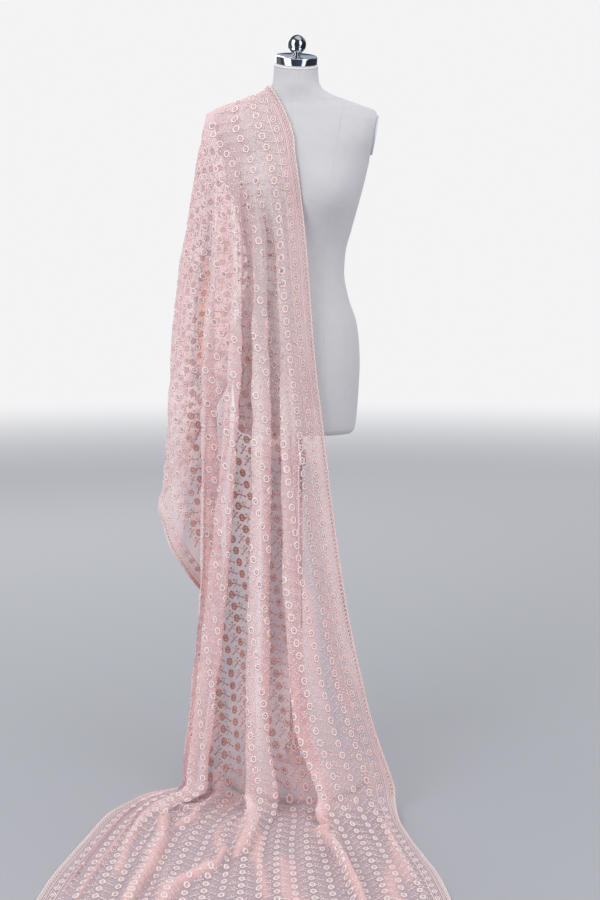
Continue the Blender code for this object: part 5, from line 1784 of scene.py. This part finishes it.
# Heights of the torso's rings: close together at its rounded foot, and on past the neck's cut.
TORSO_RINGS = np.concatenate([
    [TORSO_BOTTOM, 0.8105, 0.8125, 0.816, 0.820, 0.826], np.linspace(0.832, 1.495, 90),
    np.linspace(1.50, 1.57, 20), np.linspace(1.575, NECK_TOP, 8), [NECK_TOP + 0.02],
])


class DUPATTA_OT_form(bpy.types.Operator):
    """Models the torso of the dress form, with its seams and arm plates"""
    bl_idname = "dupatta.form"
    bl_label = "Dress form"

    def execute(self, context):
        look = context.scene.form_look
        low, high = TORSO_RINGS[0], TORSO_RINGS[-1]
        bpy.ops.object.select_all(action="DESELECT")
        bpy.ops.mesh.primitive_cylinder_add(vertices=look.columns, radius=0.1, depth=1.0)
        piece = bpy.context.active_object
        bpy.ops.object.mode_set(mode="EDIT")
        bpy.ops.mesh.select_all(action="SELECT")
        for z in TORSO_RINGS[1:-1]:
            share = (z - low) / (high - low) - 0.5
            bpy.ops.mesh.bisect(plane_co=(0, 0, share), plane_no=(0, 0, 1))
            bpy.ops.mesh.select_all(action="SELECT")
        bpy.ops.object.mode_set(mode="OBJECT")
        for vert in piece.data.vertices:
            z = low + (vert.co.z + 0.5) * (high - low)
            x, y, _ = skin_point(math.atan2(vert.co.x, -vert.co.y), min(z, NECK_TOP))
            vert.co = (x, y, z)
        cut_plane(piece, Vector((0, 0, NECK_CUT)), neck_axis(), NECK_FOOT)
        for side in (1, -1):
            cut_plane(piece, arm_point(side, ARM_PLATE_THICK + GAP), arm_normal(side), ARMHOLE_FOOT)
        solid_piece(piece, "form_torso", "torso", cover_finish(look.cover), smooth_angle=40.0)
        standing(form_seams(plain_finish("seam_thread", toned(look.cover, 1.1), 0.8)), "torso")
        for side, name in ((1, "arm_plate_right"), (-1, "arm_plate_left")):
            plate = drum(1.0, ARM_PLATE_THICK)
            plate.data.transform(Matrix.Diagonal((ARM_PLATE_HALF[1], ARM_PLATE_HALF[0], 1.0, 1.0)))
            bevel_rims(plate, 1.2 * MM)
            turn = Vector((0, 0, 1)).rotation_difference(arm_normal(side)).to_matrix().to_4x4()
            place = Matrix.Translation(arm_point(side, ARM_PLATE_THICK)) @ turn
            solid_piece(plate, name + "_face", name, plain_finish(name + "_white", *PLATE_WHITE), place)
        return {"FINISHED"}


class DUPATTA_OT_neck(bpy.types.Operator):
    """Models the chrome cap, its lip and the ball on the form's neck"""
    bl_idname = "dupatta.neck"
    bl_label = "Neck cap"

    def execute(self, context):
        lip = drum(LIP_RADIUS, LIP_HEIGHT, 128)
        bevel_rims(lip, 1.0 * MM)
        solid_piece(lip, "neck_lip_ring", "neck_lip", plain_finish("lip_white", *LIP_WHITE), neck_stand(GAP))
        above = GAP + LIP_HEIGHT + GAP
        cap = drum(CAP_RADIUS, CAP_HEIGHT, 128)
        bevel_rims(cap, 2.2 * MM, 4)
        finish = metal_finish("cap_chrome", *CAP_CHROME)
        solid_piece(cap, "neck_cap_chrome", "neck_cap", finish, neck_stand(above))
        above += CAP_HEIGHT + GAP
        bpy.ops.object.select_all(action="DESELECT")
        middle = (0, 0, BALL_MIDDLE)
        bpy.ops.mesh.primitive_uv_sphere_add(segments=64, ring_count=40, radius=BALL_RADIUS, location=middle)
        ball = bpy.context.active_object
        foot = BALL_MIDDLE - BALL_RADIUS
        stem = turned_profile((
            (0.0, foot + 0.004), (STEM_RADIUS, foot + 0.003), (STEM_RADIUS, foot - 0.0005),
            (STEM_RADIUS * 1.15, 0.0022), (STEM_RADIUS * 1.6, 0.0010), (STEM_RADIUS * 1.6, 0.0), (0.0, 0.0),
        ))
        finish = metal_finish("ball_chrome", *BALL_CHROME)
        solid_piece(joined([ball, stem]), "neck_ball_chrome", "finial_ball", finish, neck_stand(above))
        return {"FINISHED"}


class DUPATTA_OT_stand(bpy.types.Operator):
    """Models the pole, its clamp and collar, and the round base"""
    bl_idname = "dupatta.stand"
    bl_label = "Stand"

    def execute(self, context):
        base = turned_profile(BASE_PROFILE + ((0.0, 0.0),), 128)
        solid_piece(base, "stand_base", "base", metal_finish("base_pale", *BASE_PALE), smooth_angle=25.0)
        foot = BASE_PROFILE[0][1] + GAP
        collar = tube(POLE_RADIUS + GAP, COLLAR_RADIUS, foot, foot + COLLAR_HEIGHT)
        bevel_rims(collar, 1.2 * MM)
        solid_piece(collar, "stand_collar", "base_collar", metal_finish("collar_steel", *SLEEVE_STEEL))
        pole = drum(POLE_RADIUS, TORSO_BOTTOM - GAP - foot, 64, foot)
        solid_piece(pole, "stand_pole", "pole", metal_finish("pole_steel", *POLE_STEEL))
        half = CLAMP_HEIGHT / 2
        clamp = tube(POLE_RADIUS + GAP, CLAMP_RADIUS, CLAMP_Z - half, CLAMP_Z + half)
        bevel_rims(clamp, 1.2 * MM)
        solid_piece(clamp, "stand_clamp", "pole_clamp", metal_finish("clamp_steel", *SLEEVE_STEEL))
        reach = KNOB_REACH - CLAMP_RADIUS - GAP
        knob = turned_profile((
            (0.0, reach), (KNOB_RADIUS * 0.8, reach), (KNOB_RADIUS, reach - 0.003),
            (KNOB_RADIUS, reach - 0.013), (KNOB_RADIUS * 0.7, reach - 0.016), (STUD_RADIUS, reach - 0.017),
            (STUD_RADIUS, 0.0), (0.0, 0.0),
        ), 48)
        turn = Matrix.Rotation(math.radians(-90.0), 4, "X")
        place = Matrix.Translation((0, CLAMP_RADIUS + GAP, CLAMP_Z)) @ turn
        solid_piece(knob, "stand_knob", "clamp_knob", plain_finish("knob_black", *KNOB_BLACK), place)
        return {"FINISHED"}


class DUPATTA_OT_net(bpy.types.Operator):
    """Models the net of the dupatta as one draped sheet"""
    bl_idname = "dupatta.net"
    bl_label = "Net"

    def execute(self, context):
        cloth = draped_cloth()
        squares = [tuple(int(i) for i in square) for square in cloth["squares"]]
        finish = net_finish(context.scene.cloth_look)
        net = with_folds(mesh_piece("dupatta_net", cloth["place"], squares, finish), cloth["folds"])
        layer = net.data.uv_layers.new(name="cut")
        corners = np.empty(len(net.data.loops), np.int32)
        net.data.loops.foreach_get("vertex_index", corners)
        layer.data.foreach_set("uv", cloth["cut"][corners].astype(np.float32).ravel())
        standing(net, "dupatta_front_fall", "dupatta_shoulder", "dupatta_front_fall", "dupatta_side_swag",
                 "dupatta_back_fall", "dupatta_back_end", "dupatta_floor_spread")
        return {"FINISHED"}


FLOWER_HALF = (7.0 * MM, 9.2 * MM)
FLOWER_RING = 4.5 * MM
FLOWER_DOT = 1.1 * MM
FLOWER_EYE = 2.4 * MM
EYE_TOP = 1.3 * FOOT
FLOWER_LOBES = 6
FIRST_COLUMN = 0.0525          # of flowers, from the long edge beside the neck
COLUMN_STAGGER = 0.42          # how far each column's flowers are shifted from the last, in pitches
PART_LINE = 1.62               # place down the cut at which the flowers pass from one piece to the next
# A sprig between two columns, in millimetres across and down: the width and places of its stem, a stalk and
# two tendrils, and the places and radii of its three knots.
SPRIG_STROKES = (
    (2.4, ((-7.3, -4.9), (-0.4, -0.9), (7.3, 4.8))),
    (1.6, ((-2.6, -10.8), (-3.0, -3.0))),
    (1.4, ((6.1, -11.0), (1.2, -6.7), (-0.3, 0.8))),
    (1.4, ((0.3, 1.2), (-3.4, 2.4), (-6.4, 6.4))),
)
SPRIG_DOTS = ((-7.4, -5.0, 2.3), (7.4, 4.9, 2.4), (-2.6, -11.6, 2.3))
SPRIG_AT = (15.1 * MM, 18.9 * MM)     # its stem's middle, across and down from the flower above it
BORDER_SPRIG_AT = 9.5 * MM            # from the first column towards the edge
SPRIG_MARGIN = 6.0 * MM
END_SPARE = 15.0 * MM                 # how much narrower the plain border of the two ends is


def clear_of_borders(spots, margin):
    """The spots farther than this from every border but the neck edge's, each with its old number."""
    far = []
    for which in ("far edge", "front end", "back end", "back end far"):
        line, inward, _ = edge_path(which)
        far.append(line - inward * (END_SPARE if which in PLAIN_ENDS else 0.0))
    gap = np.full(len(spots), 1e9)
    for block in np.array_split(np.concatenate(far), 40):
        gap = np.minimum(gap, np.linalg.norm(spots[:, None, :2] - block[None], axis=2).min(axis=1))
    return np.column_stack([spots, np.arange(len(spots))])[gap > margin]


def field_spots(look, margin):
    """Places of the flowers in the cut: columns along it, each shifted from the last, off the borders."""
    cut = draped_cloth()["cut"]
    low, high = cut.min(axis=0), cut.max(axis=0)
    spots = []
    for k in range(int((high[0] - FIRST_COLUMN) / look.column_pitch) + 1):
        start = low[1] + look.flower_pitch * ((k * COLUMN_STAGGER) % 1.0)
        for v in np.arange(start, high[1], look.flower_pitch):
            spots.append((FIRST_COLUMN + k * look.column_pitch, v, k))
    return clear_of_borders(np.array(spots), margin)[:, :3]


def worked_in_two(name, motif, spots, thread, sizes):
    """A motif worked all over the net, as an upper and a lower piece."""
    upper = spots[:, 1] < PART_LINE
    for part, chosen in (("_upper", upper), ("_lower", ~upper)):
        piece = stitched(name + part, motif, spots[chosen, :2], thread, sizes=sizes[chosen])
        standing(piece, "dupatta_front_fall")


class DUPATTA_OT_flowers(bpy.types.Operator):
    """Works the ring flowers and the sprigs between their columns"""
    bl_idname = "dupatta.flowers"
    bl_label = "Flowers and sprigs"

    def execute(self, context):
        look = context.scene.cloth_look
        thread = thread_finish("flower_thread", look.thread, look.thread_valley_shade, look.thread_crest_highlight)
        ring = ring_motif(*FLOWER_HALF, FLOWER_RING, FLOWER_LOBES, 3 * FLOWER_LOBES, FLOWER_DOT)
        spots = field_spots(look, look.border + FLOWER_HALF[1])
        worked_in_two("flowers", ring, spots, thread, np.ones((len(spots), 2)))
        eye = dot_motif(FLOWER_EYE, FLOWER_HALF[1] / FLOWER_HALF[0], EYE_TOP)
        eyes = stitched("flower_eyes", eye, spots[:, :2], thread_finish("eye_thread", *EYE_TONES))
        standing(eyes, "dupatta_front_fall")
        strokes = [(width * MM, [(x * MM, y * MM) for x, y in stroke]) for width, stroke in SPRIG_STROKES]
        sprig = stroke_motif(strokes, [tuple(value * MM for value in dot) for dot in SPRIG_DOTS])
        spots = field_spots(look, 0.0)
        mirrored = spots[:, 2] % 2 > 0
        spots[:, 0] += np.where(mirrored, look.column_pitch - SPRIG_AT[0], SPRIG_AT[0])
        spots[:, 1] += SPRIG_AT[1]
        first = spots[spots[:, 2] == 0] - (SPRIG_AT[0] + BORDER_SPRIG_AT, 0.0, 0.0)
        mirrored = np.concatenate([mirrored, np.ones(len(first), bool)])
        spots = clear_of_borders(np.concatenate([spots, first]), look.border + SPRIG_MARGIN)
        mirrored = mirrored[spots[:, 3].astype(int)]
        sizes = np.stack([np.where(mirrored, -1.0, 1.0), np.ones(len(spots))], axis=1)
        worked_in_two("sprigs", sprig, spots, thread, sizes)
        return {"FINISHED"}


# The border, from the outer edge in: depths and sizes in metres.
ROPE = {"depth": 1.4 * MM, "swing": 1.1 * MM, "pitch": 11.0 * MM, "width": 2.4 * MM}
CHAIN = {"depth": 6.6 * MM, "pitch": 9.2 * MM, "half": (3.4 * MM, 4.4 * MM), "thick": 1.8 * MM, "dot": 0.0,
         "eye": 2.0 * MM}
CROSSING = {"swing": 3.2 * MM, "width": 0.7 * MM}
SATIN_LINES = ((12.4 * MM, 1.3 * MM), (15.2 * MM, 1.6 * MM), (19.4 * MM, 1.0 * MM), (33.6 * MM, 1.9 * MM))
OVALS = {"depth": 26.4 * MM, "pitch": 27.0 * MM, "half": (5.6 * MM, 8.7 * MM), "thick": 3.2 * MM,
         "dot": 2.4 * MM}
LINK_DOT = 2.1 * MM


class DUPATTA_OT_border(bpy.types.Operator):
    """Works the border bands along the edges of the cloth"""
    bl_idname = "dupatta.border"
    bl_label = "Borders"

    def execute(self, context):
        look = context.scene.cloth_look
        tone = toned(look.thread, 0.98)
        thread = thread_finish("border_thread", tone, look.thread_valley_shade, look.thread_crest_highlight)
        ropes, crossings, loops, ovals, dots = [], [], [], [], []
        lines = {depth: [] for depth, _ in SATIN_LINES}
        for which in EDGES:
            edge = edge_path(which)
            length = edge[2][-1]
            at = np.arange(0.0, length, BORDER_STEP)
            swing = ROPE["depth"] + ROPE["swing"] * np.abs(np.sin(np.pi * at / ROPE["pitch"]))
            ropes.append(border_places(*edge, at, swing)[0])
            swing = CHAIN["depth"] + CROSSING["swing"] * np.sin(np.pi * at / CHAIN["pitch"])
            crossings.append(border_places(*edge, at, swing)[0])
            plain = which in PLAIN_ENDS
            for depth, _ in SATIN_LINES:
                if not plain or depth < OVALS["depth"] - OVALS["half"][1]:
                    lines[depth].append(border_places(*edge, at, depth)[0])
            at = np.arange(CHAIN["pitch"] / 2, length, CHAIN["pitch"])
            loops.append(border_places(*edge, at, CHAIN["depth"]))
            if plain:
                continue
            at = np.arange(OVALS["pitch"] / 2, length, OVALS["pitch"])
            ovals.append(border_places(*edge, at, OVALS["depth"]))
            dots.append(border_places(*edge, at + OVALS["pitch"] / 2, OVALS["depth"] - LINK_DOT)[0])
        loops, loop_turns = (np.concatenate(part) for part in zip(*loops))
        ovals, oval_turns = (np.concatenate(part) for part in zip(*ovals))
        satin = joined([stitched_line("line", lines[depth], width, thread) for depth, width in SATIN_LINES])
        satin.name = "border_satin_lines"
        chain = ring_motif(*CHAIN["half"], CHAIN["thick"], 0, 12, CHAIN["dot"])
        eye = dot_motif(CHAIN["eye"], CHAIN["half"][1] / CHAIN["half"][0], EYE_TOP)
        # Painted shade: a darker knot in each chain loop stands for the shade in its hole.
        deep = thread_finish("chain_eye_shade_thread", *[toned(tone, CHAIN_EYE_SHADE) for tone in EYE_TONES])
        oval = ring_motif(*OVALS["half"], OVALS["thick"], 8, 16, OVALS["dot"])
        pieces = [
            stitched_line("border_rope", ropes, ROPE["width"], thread, 2 * LIFT),
            satin,
            stitched_line("border_crossing", crossings, CROSSING["width"], thread, 2.2 * LIFT),
            stitched("border_chain", chain, loops, thread, loop_turns),
            stitched("border_eyes", eye, loops, deep, loop_turns),
            stitched("border_ovals", oval, ovals, thread, oval_turns),
            stitched("border_dots", dot_motif(LINK_DOT), np.concatenate(dots), thread),
        ]
        for piece in pieces:
            standing(piece, "dupatta_front_fall")
        return {"FINISHED"}


CAMERA_AT = (0.009, -2.713, 1.085)
CAMERA_DIP = math.radians(6.65)
LENS = 48.0
FLOOR_NEAR = (0.37, 0.38, 0.41)
FLOOR_FAR = (0.51, 0.52, 0.55)
FLOOR_SPAN = (0.6, 5.0)        # distance over which the floor's colour goes from near to far
FLOOR_FADE = (5.0, 12.0)       # distance at which the floor starts to run up into the surround, and ends
SURROUND = (0.90, 0.90, 0.91)
SKY_LIGHT = (0.87, 0.87, 0.89)
# What polished metal sees round the horizon, by the turn in degrees from the front: two bright windows.
PANELS = (
    (-180.0, (0.04, 0.04, 0.05)), (-105.0, (0.16, 0.16, 0.17)), (-84.0, (0.03, 0.03, 0.03)),
    (-72.0, (0.10, 0.12, 0.16)), (-66.0, (1.6, 1.6, 1.6)), (-34.0, (1.6, 1.6, 1.6)),
    (-28.0, (0.03, 0.04, 0.07)), (34.0, (0.05, 0.06, 0.10)), (42.0, (1.1, 1.3, 1.6)),
    (54.0, (1.1, 1.3, 1.6)), (62.0, (0.02, 0.02, 0.03)), (180.0, (0.04, 0.04, 0.05)),
)
PANEL_TOP = (0.66, 0.78)       # sine of the height at which the windows end
ABOVE_PANELS = (0.08, 0.08, 0.09)
BACK_WALL = (0.34, 0.40, 0.50)
BACK_WALL_FROM = (0.36, 0.46)  # sine of the height from which the pale wall behind shows
BACK_WALL_SIDE = (0.2, 0.5)    # how far to the back it begins
LIGHTS = (
    # name, place, aim, size, power
    ("key", (-2.6, -3.2, 3.1), (0.0, 0.0, 1.1), 2.0, 59.0),
    ("fill", (3.2, -2.8, 2.2), (0.0, 0.0, 1.0), 2.6, 24.0),
    ("back", (-1.4, 3.2, 3.0), (0.0, 0.0, 1.0), 2.4, 30.0),
    ("top", (0.6, -0.6, 4.2), (0.0, 0.0, 0.8), 2.6, 16.0),
)


class DUPATTA_OT_stage(bpy.types.Operator):
    """Sets up the floor, the soft lights and the camera"""
    bl_idname = "dupatta.stage"
    bl_label = "Stage"

    def execute(self, context):
        bpy.ops.object.select_all(action="DESELECT")
        bpy.ops.mesh.primitive_plane_add(size=40.0, location=(0, 0, -0.0006))
        floor = bpy.context.active_object
        floor.name = "stage_floor"
        floor.data.materials.append(self.floor_finish())
        floor.visible_glossy = False
        for name, place, aim, size, power in LIGHTS:
            lamp = bpy.data.lights.new("stage_" + name, "AREA")
            lamp.shape = "SQUARE"
            lamp.size = size
            lamp.energy = power
            light = bpy.data.objects.new("stage_" + name, lamp)
            bpy.context.scene.collection.objects.link(light)
            light.location = place
            light.rotation_euler = (Vector(aim) - Vector(place)).to_track_quat("-Z", "Y").to_euler()
        context.scene.view_settings.view_transform = "Standard"
        self.sky(context)
        lens = bpy.data.cameras.new("stage_camera")
        lens.lens = LENS
        lens.sensor_fit = "VERTICAL"
        lens.sensor_height = 36.0
        camera = bpy.data.objects.new("stage_camera", lens)
        bpy.context.scene.collection.objects.link(camera)
        camera.location = CAMERA_AT
        camera.rotation_euler = (math.radians(90.0) - CAMERA_DIP, 0.0, 0.0)
        context.scene.camera = camera
        return {"FINISHED"}

    def floor_finish(self):
        """A plain pale floor that runs up into the surround far behind."""
        material, tree, shader = node_tree("stage_floor_pale")
        away = linked(tree, "ShaderNodeVectorMath", {0: coordinates(tree)}, operation="LENGTH")
        away = away.outputs["Value"]
        tone = mixed(tree, ranged(tree, away, *FLOOR_SPAN), FLOOR_NEAR, FLOOR_FAR)
        feed(tree, shader, {"Base Color": tone, "Roughness": 0.9})
        far = ranged(tree, away, *FLOOR_FADE, interpolation_type="SMOOTHSTEP")
        glow = linked(tree, "ShaderNodeEmission", {"Color": (*SURROUND, 1.0), "Strength": 1.0})
        surface = blended(tree, far, shader.outputs[0], glow.outputs[0])
        feed(tree, tree.nodes["Material Output"], {"Surface": surface})
        return material

    def sky(self, context):
        """A plain pale surround. What is polished sees it as tall bright and dark panels, as in a studio."""
        world = bpy.data.worlds.new("stage_surround")
        context.scene.world = world
        world.use_nodes = True
        tree = world.node_tree
        plain = feed(tree, tree.nodes["Background"], {"Color": (*SKY_LIGHT, 1.0)})
        seen = linked(tree, "ShaderNodeBackground", {"Color": (*SURROUND, 1.0), "Strength": 1.0})
        way = linked(tree, "ShaderNodeSeparateXYZ", {0: coordinates(tree, "Generated")})
        turn = maths(tree, "ARCTAN2", way.outputs["X"], maths(tree, "MULTIPLY", way.outputs["Y"], -1.0))
        turn = ranged(tree, turn, -math.pi, math.pi)
        panels = ramp_of(tree, turn, [((degrees + 180.0) / 360.0, colour) for degrees, colour in PANELS])
        wall = ranged(tree, way.outputs["Z"], *BACK_WALL_FROM, interpolation_type="SMOOTHSTEP")
        wall = maths(tree, "MULTIPLY", wall, ranged(tree, way.outputs["Y"], *BACK_WALL_SIDE))
        panels = mixed(tree, wall, panels, BACK_WALL)
        height = maths(tree, "ABSOLUTE", way.outputs["Z"])
        above = ranged(tree, height, *PANEL_TOP, interpolation_type="SMOOTHSTEP")
        panels = mixed(tree, above, panels, ABOVE_PANELS)
        glossy = linked(tree, "ShaderNodeBackground", {"Color": panels, "Strength": 1.0})
        path = linked(tree, "ShaderNodeLightPath")
        surface = blended(tree, path.outputs["Is Glossy Ray"], plain.outputs[0], glossy.outputs[0])
        surface = blended(tree, path.outputs["Is Camera Ray"], surface, seen.outputs[0])
        feed(tree, tree.nodes["World Output"], {"Surface": surface})


class DUPATTA_PT_panel(bpy.types.Panel):
    bl_idname = "DUPATTA_PT_panel"
    bl_label = "Dupatta stole"
    bl_space_type = "VIEW_3D"
    bl_region_type = "UI"
    bl_category = "Dupatta"

    def draw(self, context):
        for look in (context.scene.form_look, context.scene.cloth_look):
            for name in look.bl_rna.properties.keys():
                if name not in ("rna_type", "name"):
                    self.layout.prop(look, name)
        for operator in PIECES:
            self.layout.operator(operator.bl_idname)


PIECES = (DUPATTA_OT_form, DUPATTA_OT_neck, DUPATTA_OT_stand, DUPATTA_OT_net, DUPATTA_OT_flowers,
          DUPATTA_OT_border, DUPATTA_OT_stage)
CLASSES = (FormLook, ClothLook) + PIECES + (DUPATTA_PT_panel,)


def register():
    for item in CLASSES:
        bpy.utils.register_class(item)
    bpy.types.Scene.form_look = bpy.props.PointerProperty(type=FormLook)
    bpy.types.Scene.cloth_look = bpy.props.PointerProperty(type=ClothLook)


def unregister():
    del bpy.types.Scene.cloth_look
    del bpy.types.Scene.form_look
    for item in reversed(CLASSES):
        bpy.utils.unregister_class(item)


def main():
    register()
    bpy.ops.dupatta.form()
    bpy.ops.dupatta.neck()
    bpy.ops.dupatta.stand()
    bpy.ops.dupatta.net()
    bpy.ops.dupatta.flowers()
    bpy.ops.dupatta.border()
    bpy.ops.dupatta.stage()
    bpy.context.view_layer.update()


if __name__ == "__main__":
    main()
